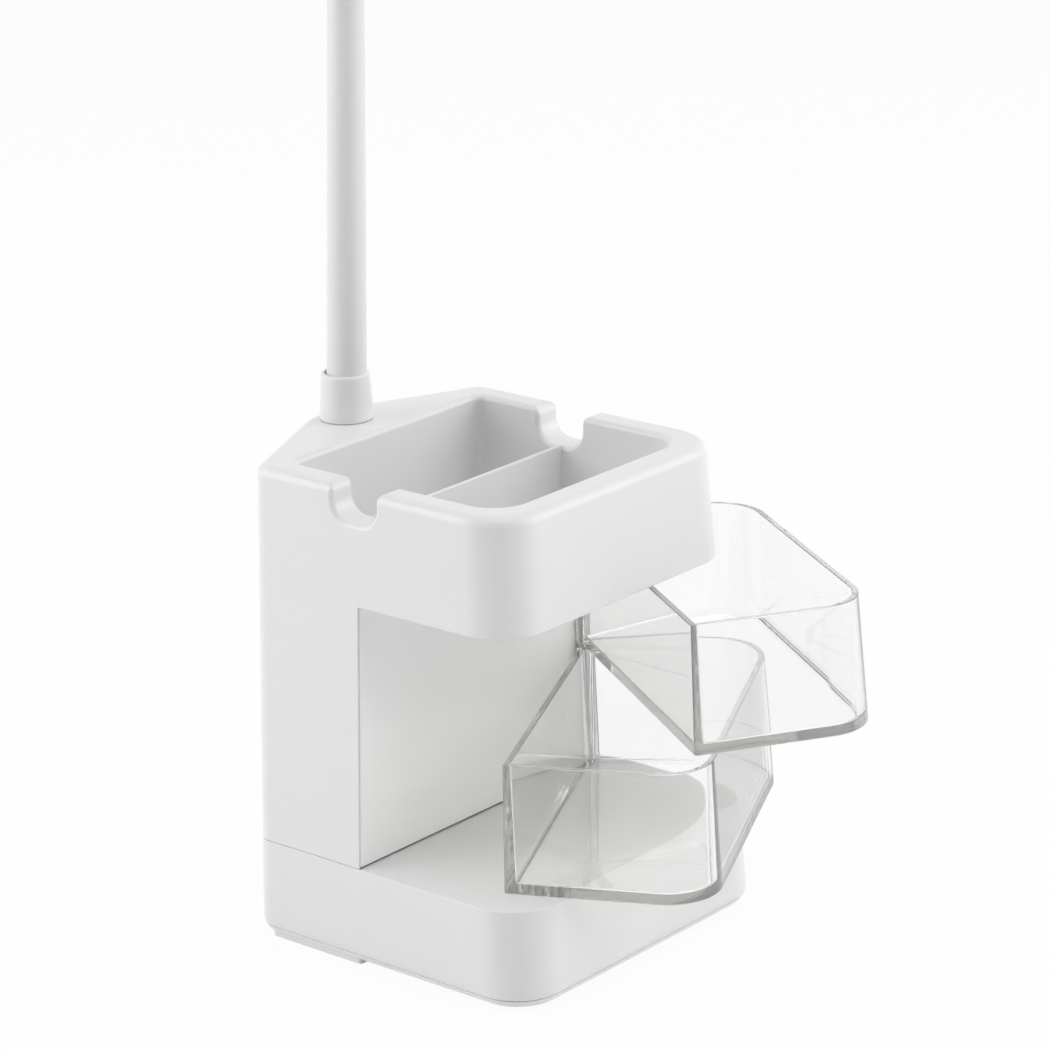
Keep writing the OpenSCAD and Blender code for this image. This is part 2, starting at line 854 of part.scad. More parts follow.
module head_socket() {
    color(white_c)
    on_socket(end_y - seam)
        difference() {
            cylinder(h = socket_l, r = socket_r);
            translate([0, 0, -1])
                cylinder(h = socket_l + 2, r = stem_bore_r);
        }
}

module head_top() {
    top = head_split + head_top_t;
    color(white_c)
    difference() {
        loft(concat([head_ring(head_split + seam / 2, 0)],
            [for (k = [0 : 5]) let (a = 90 * k / 5)
                head_ring(top - head_round + head_round * sin(a),
                    head_round * (1 - cos(a)))]));
        loft([head_ring(head_split - 1, head_wall),
            head_ring(top - head_wall, head_wall + 0.6)]);
        on_socket(end_y + 10)
            cylinder(h = 20 + socket_l, r = socket_r + seam);
        translate([0, button_y, head_split])
            cylinder(h = big, r = button_r + bend_gap);
        for (p = head_post)
            translate([p.x, p.y, head_split - 1])
                cylinder(h = head_top_t - 1, r = pilot_r);
    }
    color(white_c)
    for (p = head_post)
        translate([p.x, p.y, head_split + plate_t + seam])
            difference() {
                cylinder(h = head_top_t - head_wall - plate_t - seam + 0.3, r = 3);
                translate([0, 0, -1])
                    cylinder(h = head_top_t - 2, r = pilot_r);
            }
}
head_post = [[14, head_rear - 22], [-14, head_rear - 22],
    [12, head_rear - head_l + 18], [-12, head_rear - head_l + 18]];
button_y = head_rear - 34;

module head_bezel() {
    low = head_split - head_low_t;
    color(white_c)
    difference() {
        loft(concat([for (k = [5 : -1 : 0]) let (a = 90 * k / 5)
                head_ring(low + head_round - head_round * sin(a),
                    head_round * (1 - cos(a)))],
            [head_ring(head_split - seam / 2, 0)]));
        loft([head_ring(low - 1, bezel_w + 1), head_ring(head_split, bezel_w + 1)]);
        loft([head_ring(low + diffuser_seat, bezel_w - 1), head_ring(head_split, head_wall)]);
        on_socket(end_y + 10)
            cylinder(h = 20 + socket_l, r = socket_r + seam);
    }
}
diffuser_seat = 1;

module head_diffuser() {
    z = head_split - head_low_t + diffuser_seat + seam;
    color("whitesmoke")
        difference() {
            loft([head_ring(z, bezel_w - 0.6), head_ring(z + diffuser_t, bezel_w - 0.6)]);
            socket_room();
        }
}

// Room that the plates in the head leave for the neck socket.
module socket_room() {
    on_socket(end_y + 10)
        cylinder(h = 10 + socket_l + 2, r = socket_r + 2 * seam);
}

module led_board() {
    z = head_split - head_low_t + diffuser_seat + diffuser_t + 2 * seam;
    color(board_c)
    difference() {
        loft([head_ring(z, bezel_w - 0.6), head_ring(z + board_t, bezel_w - 0.6)]);
        socket_room();
        for (p = head_post)
            translate([p.x, p.y, z - 1])
                cylinder(h = board_t + 2, r = head_r + seam);
    }
}

module heat_spreader() {
    z = head_split;
    color(steel_c)
    difference() {
        loft([head_ring(z, head_wall + 1), head_ring(z + plate_t, head_wall + 1)]);
        socket_room();
        for (p = head_post)
            translate([p.x, p.y, z - 1])
                cylinder(h = plate_t + 2, r = screw_hole_r);
    }
}

module head_screws() {
    color(steel_c)
    for (p = head_post)
        translate([p.x, p.y, head_split - seam])
            pan_screw(head_top_t - 2.2);
}

module power_button() {
    top = head_split + head_top_t;
    color(panel_c)
    translate([0, button_y, top - 2.4])
        rotate_extrude()
            polygon([[0, 0], [button_r, 0], [button_r, 2.8], [button_r - 0.6, 3.4],
                [0, 3.4]]);
}

module button_switch() {
    top = head_split + head_top_t;
    low = head_split + plate_t + seam;
    color(rubber_c)
    translate([-3, button_y - 3, low])
        cube([6, 6, top - 2.4 - button_travel - seam - low]);
}

// ---- electrics ------------------------------------------------------------------------
inlet_r = 4.4;
inlet_x = 24;
inlet_z = 52;
inlet_l = 11;
board_w = 30;
board_h = 34;

// Stand on the right face of the prow, z pointing out of it.
module inlet_place() {
    y = tip_at(inlet_z) - inlet_x * tan(prow_angle);
    translate([inlet_x, y, inlet_z])
        rotate([-90, 0, -prow_angle])
            children();
}

module power_inlet() {
    flange = 5.4;
    color(rubber_c)
    inlet_place()
        difference() {
            union() {
                translate([0, 0, -inlet_l])
                    cylinder(h = inlet_l, r = inlet_r);
                translate([0, 0, -wall - 1.2])
                    cylinder(h = 1, r = flange);
            }
            translate([0, 0, -inlet_l + 2])
                cylinder(h = inlet_l, r = 2.8);
        }
}

module driver_board() {
    color(board_c)
    inlet_place()
        translate([-board_w / 2, -board_h / 2, -inlet_l - board_t - seam])
            cube([board_w, board_h, board_t]);
}

base_shell();
bottom_cover();
foot_pad();
ballast_plate();
ballast_screws();
cover_screws();
housing();
housing_screws();
column_panel();
cup_underside();
cup_divider();
pivot_pin();
pivot_washers();
lower_drawer();
upper_drawer();
neck_collar();
neck_stem();
neck_nut();
neck_sleeve_1();
neck_sleeve_2();
neck_sleeve_3();
neck_sleeve_4();
neck_sleeve_5();
neck_core_1();
neck_core_2();
neck_core_3();
neck_core_4();
neck_core_5();
head_socket();
head_top();
head_bezel();
head_diffuser();
led_board();
heat_spreader();
head_screws();
power_button();
button_switch();
driver_board();
power_inlet();
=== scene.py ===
import json
import math

import bmesh
import bpy
from mathutils import Euler, Matrix, Vector


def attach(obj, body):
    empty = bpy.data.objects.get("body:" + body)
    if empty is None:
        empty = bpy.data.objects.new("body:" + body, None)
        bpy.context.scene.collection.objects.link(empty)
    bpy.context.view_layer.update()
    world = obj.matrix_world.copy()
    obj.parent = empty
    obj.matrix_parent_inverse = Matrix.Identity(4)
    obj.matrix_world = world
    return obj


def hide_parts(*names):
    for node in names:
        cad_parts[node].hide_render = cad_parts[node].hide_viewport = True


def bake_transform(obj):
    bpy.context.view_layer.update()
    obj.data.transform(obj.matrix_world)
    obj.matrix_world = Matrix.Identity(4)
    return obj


# %% [markdown]
# # A desk lamp on a drawer base
# The real lamp is a white C-shaped moulding with a pen cup on top, two clear trays that
# swing out of its mouth, and a soft white gooseneck. The solid model already says where
# everything is, so it is loaded first and every visible piece is then dressed around it.

# %% Load the frame
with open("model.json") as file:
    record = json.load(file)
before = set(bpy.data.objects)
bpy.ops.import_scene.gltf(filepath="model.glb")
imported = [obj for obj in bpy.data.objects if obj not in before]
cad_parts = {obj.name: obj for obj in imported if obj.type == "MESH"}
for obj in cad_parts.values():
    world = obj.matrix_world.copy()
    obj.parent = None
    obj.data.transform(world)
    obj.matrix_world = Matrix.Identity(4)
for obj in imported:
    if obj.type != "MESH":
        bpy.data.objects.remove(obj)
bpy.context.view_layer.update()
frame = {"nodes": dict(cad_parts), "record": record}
MM = 0.001

# %% [markdown]
# ## Sizes
# These are the sizes that shape the visible surfaces, in millimetres, and they are the same
# as in the solid model. Heights are above the table, +X is the side of the drawers' pin and
# -Y is the open front.

# %% Sizes of the body
BODY_W, BODY_FRONT, BODY_BACK, BODY_H = 110, 62.8, 62.2, 140.7
FOOT_H, CUP_Z = 30, 107
SIDE_DRAFT, FRONT_DRAFT, BACK_DRAFT = 0.045, 0.063, 0.019
PROW_ANGLE = 24.7
FRONT_R, SHOULDER_R, PROW_R = 15, 6, 25
RIM_R, EDGE_R, WALL, SEAM = 3, 6, 2.8, 0.2
COLUMN_Y, PANEL_T, PANEL_LIP = -1.5, 2, 0.6
COVER_Z, COVER_T = 0.6, 3.2
CUP_WALL, CUP_BACK, CUP_DRAFT = 8.8, 31, 0.03
CUP_FRONT_R, CUP_BACK_R, CUP_FLOOR_R, LIP_R = 10, 3, 3, 1.8
CUP_FLOOR = CUP_Z + 5
PIVOT_X, PIVOT_Y, BOSS_R, PIN_R = 45.4, COLUMN_Y - 1.8, 2.5, 1.25
DIVIDER_T, DIVIDER_DROP = 1.4, 10
print("body", BODY_W, "wide,", BODY_H, "high")

# %% [markdown]
# ## Helpers
# Most of the lamp's mouldings are outlines that change a little with height. A loft joins a
# stack of such outlines into one closed skin, which gives exact control over drafts and
# rounded edges. Cutting and joining such solids is left to the exact boolean.

# %% Outlines
def arc(x, y, r, start, end, steps):
    """Points on a circle round (x, y), from one angle to the other."""
    angles = [math.radians(start + (end - start) * k / steps) for k in range(steps + 1)]
    return [(x + r * math.cos(a), y + r * math.sin(a)) for a in angles]


def half_width(z):
    """Half the body's width at height z."""
    return BODY_W / 2 - SIDE_DRAFT * z


def front_at(z):
    """Y of the body's front face at height z."""
    return -BODY_FRONT + FRONT_DRAFT * z


def tip_at(z):
    """Y of the prow's tip, as if it were sharp, at height z."""
    return BODY_BACK - BACK_DRAFT * z


def body_outline(z, inset, front=None, corner=FRONT_R):
    """Plan of the lamp's body at height z, with every face moved in by inset."""
    w = half_width(z) - inset
    f = front_at(z) + inset if front is None else front
    angle = math.radians(PROW_ANGLE)
    tip = tip_at(z) - inset / math.cos(angle)
    side = tip - w * math.tan(angle)
    rf, rs, rp = max(corner - inset, 0.8), max(SHOULDER_R - inset, 0.8), max(PROW_R - inset, 2)
    turn = rs * math.tan((math.pi / 2 - angle) / 2)
    points = arc(w - rf, f + rf, rf, -90, 0, 20)
    points += arc(w - rs, side - turn, rs, 0, 90 - PROW_ANGLE, 12)
    points += arc(0, tip - rp / math.cos(angle), rp, 90 - PROW_ANGLE, 90 + PROW_ANGLE, 12)
    points += arc(-w + rs, side - turn, rs, 90 + PROW_ANGLE, 180, 12)
    points += arc(-w + rf, f + rf, rf, 180, 270, 20)
    return [(x, y, z) for x, y in points]


def box_outline(z, w, front, back, front_r, back_r):
    """Rounded rectangle with its own radii in front and at the back."""
    points = arc(w - front_r, front + front_r, front_r, -90, 0, 16)
    points += arc(w - back_r, back - back_r, back_r, 0, 90, 8)
    points += arc(-w + back_r, back - back_r, back_r, 90, 180, 8)
    points += arc(-w + front_r, front + front_r, front_r, 180, 270, 16)
    return [(x, y, z) for x, y in points]


print("outline points:", len(body_outline(0, 0)))


# %% Meshes
def new_object(name, mesh):
    obj = bpy.data.objects.new(name, mesh)
    bpy.context.scene.collection.objects.link(obj)
    return obj


def mesh_from(name, bm):
    """Closes a bmesh into an object with outward faces. Input is in millimetres."""
    bmesh.ops.remove_doubles(bm, verts=bm.verts, dist=1e-5)
    bmesh.ops.recalc_face_normals(bm, faces=bm.faces)
    bmesh.ops.scale(bm, verts=bm.verts, vec=(MM, MM, MM))
    mesh = bpy.data.meshes.new(name)
    bm.to_mesh(mesh)
    bm.free()
    return new_object(name, mesh)


def loft(name, rings, closed=False):
    """Skin over a stack of rings with the same number of points."""
    bm = bmesh.new()
    rows = [[bm.verts.new(p) for p in ring] for ring in rings]
    count = len(rows[0])
    pairs = list(zip(rows, rows[1:])) + ([(rows[-1], rows[0])] if closed else [])
    for low, high in pairs:
        for k in range(count):
            j = (k + 1) % count
            bm.faces.new((low[k], low[j], high[j], high[k]))
    if not closed:
        bm.faces.new(list(reversed(rows[0])))
        bm.faces.new(rows[-1])
    return mesh_from(name, bm)


def lathe(name, profile, steps=64, ring=False):
    """Solid turned about Z from a profile of (radius, height) points. A ring's profile is
    a loop that stays clear of the axis."""
    rings = []
    for r, z in profile:
        rings.append([(max(r, 1e-4) * math.cos(a), max(r, 1e-4) * math.sin(a), z)
                      for a in (2 * math.pi * k / steps for k in range(steps))])
    return loft(name, rings, closed=ring)


def rod(name, r, low, high, at=(0, 0, 0), turn=None):
    """Plain cylinder, used only to bore or to carry."""
    return place(lathe(name, [(0, low), (r, low), (r, high), (0, high)]), at, turn)


def turned(x=0, y=0, z=0):
    """Rotation by degrees about X, then Y, then Z."""
    return Euler([math.radians(v) for v in (x, y, z)]).to_matrix()


def block(name, low, high):
    """Plain box, used only to cut."""
    (x0, y0, z0), (x1, y1, z1) = low, high
    return loft(name, [[(x0, y0, z), (x1, y0, z), (x1, y1, z), (x0, y1, z)] for z in (z0, z1)])


def place(obj, at=(0, 0, 0), turn=None):
    """Moves a mesh by millimetres, after an optional rotation."""
    matrix = Matrix.Translation(Vector(at) * MM)
    obj.data.transform(matrix @ turn.to_4x4() if turn else matrix)
    return obj


def bake(obj):
    """Replaces an object's mesh by what its modifiers make of it."""
    depsgraph = bpy.context.evaluated_depsgraph_get()
    mesh = bpy.data.meshes.new_from_object(obj.evaluated_get(depsgraph))
    obj.modifiers.clear()
    old = obj.data
    obj.data = mesh
    bpy.data.meshes.remove(old)
    return obj


def combine(obj, other, operation="DIFFERENCE"):
    """Cuts obj with other, or joins them, and removes other."""
    modifier = obj.modifiers.new("cut", "BOOLEAN")
    modifier.operation, modifier.solver, modifier.object = operation, "EXACT", other
    bake(obj)
    bpy.data.objects.remove(other)
    return obj


def tidy(obj, flat=0.4):
    """Merges what a boolean leaves: doubled points and coplanar slivers."""
    bm = bmesh.new()
    bm.from_mesh(obj.data)
    bmesh.ops.remove_doubles(bm, verts=bm.verts, dist=0.01 * MM)
    bmesh.ops.dissolve_limit(bm, angle_limit=math.radians(flat), verts=bm.verts,
                             edges=bm.edges)
    bm.to_mesh(obj.data)
    bm.free()
    return obj


def finish_edges(obj, width=0, angle=40, segments=2):
    """Bevels the crisp edges, where a width is given, and shades the rest smooth."""
    if width:
        bevel = obj.modifiers.new("edge", "BEVEL")
        bevel.width, bevel.segments = width * MM, segments
        bevel.limit_method, bevel.angle_limit = "ANGLE", math.radians(angle)
        bevel.use_clamp_overlap = False
        bevel.miter_outer = "MITER_ARC"
        bake(obj)
    for polygon in obj.data.polygons:
        polygon.use_smooth = True
    obj.data.set_sharp_from_angle(angle=math.radians(50))
    weighted = obj.modifiers.new("normals", "WEIGHTED_NORMAL")
    weighted.keep_sharp = True
    weighted.weight = 80
    return obj


def rounding(r, steps):
    """Quarter round as (up, inset) pairs: it starts r inside, at a lower end, and runs up to
    the side. Read as (inset, down), the same pairs run from the side to an upper end."""
    angles = [math.pi / 2 * k / steps for k in range(steps + 1)]
    return [(r * (1 - math.cos(a)), r * (1 - math.sin(a))) for a in angles]


print("helpers ready")

# %% [markdown]
# ## Finishes
# The lamp is a studio white ABS with a satin skin. Up close such a moulding is never
# perfectly even: it has a very fine orange peel, and the roughness wanders a little where
# hands and cloths have been. Both are one shared node group, so every plastic gets them at
# its own strength. The clear trays are polished polystyrene, the neck is silicone.

# %% Shared skin group
def socket(tree, name, kind, default=None, in_out="INPUT"):
    """Adds a named input or output to a node tree."""
    item = tree.interface.new_socket(name=name, in_out=in_out, socket_type=kind)
    if default is not None:
        item.default_value = default
    return item


def moulded_skin():
    """Group that gives a height for the peel and a roughness that wanders."""
    tree = bpy.data.node_groups.new("moulded_skin", "ShaderNodeTree")
    socket(tree, "Peel Scale", "NodeSocketFloat", 900)
    socket(tree, "Roughness", "NodeSocketFloat", 0.3)
    socket(tree, "Wander", "NodeSocketFloat", 0.05)
    socket(tree, "Height", "NodeSocketFloat", in_out="OUTPUT")
    socket(tree, "Roughness", "NodeSocketFloat", in_out="OUTPUT")
    nodes, links = tree.nodes, tree.links
    inside, outside = nodes.new("NodeGroupInput"), nodes.new("NodeGroupOutput")
    place_on = nodes.new("ShaderNodeTexCoord")
    peel, broad = nodes.new("ShaderNodeTexNoise"), nodes.new("ShaderNodeTexNoise")
    peel.inputs["Detail"].default_value = 2
    broad.inputs["Scale"].default_value = 45
    broad.inputs["Detail"].default_value = 3
    span = nodes.new("ShaderNodeMath")
    span.operation = "MULTIPLY_ADD"
    centre = nodes.new("ShaderNodeMath")
    centre.operation = "SUBTRACT"
    centre.inputs[1].default_value = 0.5
    for noise in (peel, broad):
        links.new(place_on.outputs["Object"], noise.inputs["Vector"])
    links.new(inside.outputs["Peel Scale"], peel.inputs["Scale"])
    links.new(broad.outputs["Fac"], centre.inputs[0])
    links.new(centre.outputs[0], span.inputs[0])
    links.new(inside.outputs["Wander"], span.inputs[1])
    links.new(inside.outputs["Roughness"], span.inputs[2])
    links.new(peel.outputs["Fac"], outside.inputs["Height"])
    links.new(span.outputs[0], outside.inputs["Roughness"])
    return tree


SKIN = moulded_skin()
print("group inputs:", [i.name for i in SKIN.interface.items_tree if i.in_out == "INPUT"])


# %% Materials
def finish_named(name, colour, roughness, peel=900, wander=0.05, bump=0.02, **plain):
    """Principled finish whose roughness and bump come from the shared skin."""
    material = bpy.data.materials.new(name)
    material.use_nodes = True
    nodes, links = material.node_tree.nodes, material.node_tree.links
    shader = nodes["Principled BSDF"]
    shader.inputs["Base Color"].default_value = (*colour, 1)
    for key, value in plain.items():
        shader.inputs[key.replace("_", " ")].default_value = value
    skin = nodes.new("ShaderNodeGroup")
    skin.node_tree = SKIN
    skin.inputs["Peel Scale"].default_value = peel
    skin.inputs["Roughness"].default_value = roughness
    skin.inputs["Wander"].default_value = wander
    relief = nodes.new("ShaderNodeBump")
    relief.inputs["Strength"].default_value = bump
    relief.inputs["Distance"].default_value = 0.0002
    links.new(skin.outputs["Height"], relief.inputs["Height"])
    links.new(relief.outputs["Normal"], shader.inputs["Normal"])
    links.new(skin.outputs["Roughness"], shader.inputs["Roughness"])
    return material


WHITE = finish_named("satin_white", (0.83, 0.83, 0.83), 0.30, bump=0.05)
# Painted light: the panel's white is lighter than the body's to make up for the shade in the mouth;
# the cup's underside and the button share this lighter white.
PAINTED_BRIGHT_PANEL = finish_named("gloss_panel", (0.93, 0.93, 0.93), 0.10, bump=0.02)
SLEEVE = finish_named("soft_sleeve", (0.80, 0.80, 0.80), 0.42, peel=1800, bump=0.1)
STEEL = finish_named("plain_steel", (0.55, 0.55, 0.55), 0.32, peel=500, Metallic=1.0)
SPREADER = finish_named("spreader_sheet", (0.75, 0.75, 0.76), 0.35, Metallic=1.0)
RUBBER = finish_named("dark_rubber", (0.03, 0.03, 0.03), 0.65, peel=1500, bump=0.3)
BLACK = finish_named("black_insert", (0.02, 0.02, 0.02), 0.4)
BOARD = finish_named("board_green", (0.04, 0.16, 0.08), 0.35)
DIFFUSER = finish_named("milky_diffuser", (0.86, 0.86, 0.85), 0.45, Transmission_Weight=0.15)


def clear_finish(shade=(0.88, 0.88, 0.87, 1), tint_density=10, haze_density=9):
    """Polished clear plastic: light passes, and its shadow stays pale. A warm tint and a
    little haze fill the body, so that only its long edges turn grey."""
    material = finish_named("clear_tray", (0.995, 0.995, 0.995), 0.02, peel=70, wander=0.01,
                            bump=0.03, Transmission_Weight=1.0, IOR=1.52)
    nodes, links = material.node_tree.nodes, material.node_tree.links
    ray, through = nodes.new("ShaderNodeLightPath"), nodes.new("ShaderNodeBsdfTransparent")
    through.inputs["Color"].default_value = shade
    mix = nodes.new("ShaderNodeMixShader")
    links.new(ray.outputs["Is Shadow Ray"], mix.inputs[0])
    links.new(nodes["Principled BSDF"].outputs[0], mix.inputs[1])
    links.new(through.outputs[0], mix.inputs[2])
    links.new(mix.outputs[0], nodes["Material Output"].inputs["Surface"])
    tint, haze = nodes.new("ShaderNodeVolumeAbsorption"), nodes.new("ShaderNodeVolumeScatter")
    tint.inputs["Color"].default_value = (0.36, 0.33, 0.28, 1)
    tint.inputs["Density"].default_value = tint_density
    haze.inputs["Density"].default_value = haze_density
    haze.inputs["Color"].default_value = (1, 1, 1, 1)
    body = nodes.new("ShaderNodeAddShader")
    links.new(tint.outputs[0], body.inputs[0])
    links.new(haze.outputs[0], body.inputs[1])
    links.new(body.outputs[0], nodes["Material Output"].inputs["Volume"])
    return material


CLEAR = clear_finish()


def dress(obj, material, slot_name, body, *nodes):
    """Gives a piece its finish, its body and the solids that it stands for."""
    obj.data.materials.clear()
    obj.data.materials.append(material)
    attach(obj, body)
    if nodes:
        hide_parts(*nodes)
    print(f"{obj.name}: {len(obj.data.polygons)} faces")
    return obj


print("finishes:", len(bpy.data.materials))

# %% [markdown]
# ## Camera, light and floor
# The camera is the one that the photograph was taken with: a long lens from the left front,
# a little above the rim, rolled by about a degree. The light is a white tent: two broad
# panels at the sides, one overhead, and a dimmer room behind the camera, which puts the
# soft dark band on every corner that faces us.

# %% Camera
def direction(azimuth, elevation):
    """Unit vector to an azimuth, which is 0 in front and turns to the right."""
    a, e = math.radians(azimuth), math.radians(elevation)
    return Vector((math.sin(a) * math.cos(e), -math.cos(a) * math.cos(e), math.sin(e)))


VIEW_AZIMUTH, VIEW_ELEVATION, VIEW_ROLL = -49.53, 18.42, -1.453
LENS, SENSOR = 145.42, 36
CAMERA_AT = Vector((-0.8568, -0.7509, 0.4961))


def aim():
    """Camera matrix from azimuth, elevation and roll."""
    a, r = math.radians(VIEW_AZIMUTH), math.radians(VIEW_ROLL)
    back, right = direction(VIEW_AZIMUTH, VIEW_ELEVATION), Vector((math.cos(a), math.sin(a), 0))
    up = back.cross(right)
    right, up = (right * math.cos(r) + up * math.sin(r), up * math.cos(r) - right * math.sin(r))
    turn = Matrix((right, up, back)).transposed().to_4x4()
    return Matrix.Translation(CAMERA_AT) @ turn


camera_data = bpy.data.cameras.new("camera")
camera_data.lens, camera_data.sensor_width = LENS, SENSOR
camera_data.clip_start, camera_data.clip_end = 0.05, 60
camera = bpy.data.objects.new("camera", camera_data)
bpy.context.scene.collection.objects.link(camera)
camera.matrix_world = aim()
bpy.context.scene.camera = camera
print("camera at", [round(v, 3) for v in CAMERA_AT])


# %% Lamps and world
def looked_at(nodes, links):
    """1 for a ray from the camera, through clear plastic or off a shine, and 0 for the rest."""
    ray = nodes.new("ShaderNodeLightPath")
    seen = ray.outputs["Is Camera Ray"]
    for kind in ("Is Transmission Ray", "Is Glossy Ray"):
        either = nodes.new("ShaderNodeMath")
        either.operation = "MAXIMUM"
        links.new(seen, either.inputs[0])
        links.new(ray.outputs[kind], either.inputs[1])
        seen = either.outputs[0]
    return seen


def soft_panel(name, azimuth, elevation, distance, size, power):
    """Square light panel that faces the lamp."""
    back = direction(azimuth, elevation)
    data = bpy.data.lights.new(name, "AREA")
    data.shape, data.size, data.energy = "SQUARE", size, power
    lamp = bpy.data.objects.new(name, data)
    bpy.context.scene.collection.objects.link(lamp)
    lamp.location = Vector((0, 0, 0.1)) + back * distance
    lamp.rotation_mode = "QUATERNION"
    lamp.rotation_quaternion = back.to_track_quat("Z", "Y")
    lamp.visible_camera = False
    return lamp


soft_panel("left_panel", VIEW_AZIMUTH - 85, elevation=20, distance=1.6, size=1.3, power=12.6)
soft_panel("right_panel", VIEW_AZIMUTH + 85, elevation=20, distance=1.6, size=1.3, power=11)
soft_panel("top_panel", azimuth=10, elevation=75, distance=1.6, size=1.4, power=9)


def studio_world(room=0.5, behind_camera=0.2, backdrop=1.0):
    """A room that is dimmer on the camera's side lights the lamp. What looks at the backdrop,
    or mirrors it, meets plain white."""
    world = bpy.data.worlds.new("studio")
    bpy.context.scene.world = world
    world.use_nodes = True
    nodes, links = world.node_tree.nodes, world.node_tree.links
    background = nodes["Background"]
    background.inputs["Color"].default_value = (1, 1, 1, 1)
    mix = nodes.new("ShaderNodeMix")
    mix.inputs["B"].default_value = backdrop
    towards, facing = nodes.new("ShaderNodeTexCoord"), nodes.new("ShaderNodeVectorMath")
    facing.operation = "DOT_PRODUCT"
    facing.inputs[1].default_value = aim().to_3x3().col[2]
    level = nodes.new("ShaderNodeMapRange")
    level.inputs["From Min"].default_value, level.inputs["From Max"].default_value = 0.2, 1
    level.inputs["To Min"].default_value = room
    level.inputs["To Max"].default_value = behind_camera
    links.new(towards.outputs["Generated"], facing.inputs[0])
    links.new(facing.outputs["Value"], level.inputs["Value"])
    links.new(level.outputs["Result"], mix.inputs["A"])
    links.new(looked_at(nodes, links), mix.inputs["Factor"])
    links.new(mix.outputs["Result"], background.inputs["Strength"])


studio_world()
scene = bpy.context.scene
scene.view_settings.view_transform = "Standard"
scene.cycles.max_bounces, scene.cycles.glossy_bounces = 20, 14
scene.cycles.transmission_bounces, scene.cycles.volume_bounces = 20, 6


# %% Floor
def pale_floor(size=6, drop=0.0001, glow=0.94):
    """Wide table top, a hair under the lamp. It glows to a ray that looks at it, and still
    takes the shadow. From below it lets the view through to the underside."""
    bm = bmesh.new()
    bmesh.ops.create_grid(bm, x_segments=1, y_segments=1, size=size)
    bmesh.ops.translate(bm, verts=bm.verts, vec=(0, 0, -drop))
    mesh = bpy.data.meshes.new("table")
    bm.to_mesh(mesh)
    bm.free()
    table = new_object("table", mesh)
    material = bpy.data.materials.new("table_white")
    material.use_nodes = True
    nodes, links = material.node_tree.nodes, material.node_tree.links
    shader = nodes["Principled BSDF"]
    shader.inputs["Base Color"].default_value = (0.9, 0.9, 0.9, 1)
    shader.inputs["Roughness"].default_value = 0.6
    amount = nodes.new("ShaderNodeMath")
    amount.operation = "MULTIPLY"
    amount.inputs[1].default_value = glow
    white, mix = nodes.new("ShaderNodeEmission"), nodes.new("ShaderNodeMixShader")
    links.new(looked_at(nodes, links), amount.inputs[0])
    links.new(amount.outputs[0], mix.inputs[0])
    links.new(shader.outputs[0], mix.inputs[1])
    links.new(white.outputs[0], mix.inputs[2])
    side, below = nodes.new("ShaderNodeNewGeometry"), nodes.new("ShaderNodeMixShader")
    through = nodes.new("ShaderNodeBsdfTransparent")
    links.new(side.outputs["Backfacing"], below.inputs[0])
    links.new(mix.outputs[0], below.inputs[1])
    links.new(through.outputs[0], below.inputs[2])
    links.new(below.outputs[0], nodes["Material Output"].inputs["Surface"])
    mesh.materials.append(material)


pale_floor()

# %% [markdown]
# ## The foot
# The foot is a shell over a thin cover, and the seam between them runs just above the
# table. Its lower edge turns under with a 6 mm round, so the outlines near the table are
# drawn in along a quarter circle. The two pieces share that curve. Inside the shell stand
# the posts that take the screws, and the boss that holds the drawers' pin.

# %% Foot shell
SHELL_Z = COVER_Z + COVER_T + SEAM
FOOT_TOP_T, FIT = 3, 0.02
SCREW_R, SCREW_HEAD_R, SCREW_HEAD_H, SCREW_REACH = 1.5, 3, 1.7, 10
POST_R, BOSS_POST_R, PIN_Z, PIN_TOP = 4, 5, 14, CUP_Z + 7
POST_FROM_SIDE, POST_FROM_FRONT, POST_BACK_Y = 9, 16.8, 30
BALLAST_X, BALLAST_FRONT, BALLAST_BACK, BALLAST_TOP_Z = 26, -34, 18, 12.2
COVER_POSTS = [(side * (half_width(0) - POST_FROM_SIDE), y) for side in (1, -1)
               for y in (front_at(0) + POST_FROM_FRONT, POST_BACK_Y)]
BALLAST_POSTS = [(side * BALLAST_X, y) for side in (1, -1)
                 for y in (BALLAST_FRONT, BALLAST_BACK)]


def pin_bore():
    """Bore for the drawers' pin, through whatever it passes."""
    return rod("pin_bore", PIN_R + FIT, PIN_Z, PIN_TOP + SEAM, (PIVOT_X, PIVOT_Y, 0))


def edge_inset(z):
    """How far the rounded lower edge lies inside the side at height z."""
    d = max(EDGE_R - (z - COVER_Z), 0)
    return EDGE_R - math.sqrt(max(EDGE_R ** 2 - d ** 2, 0))


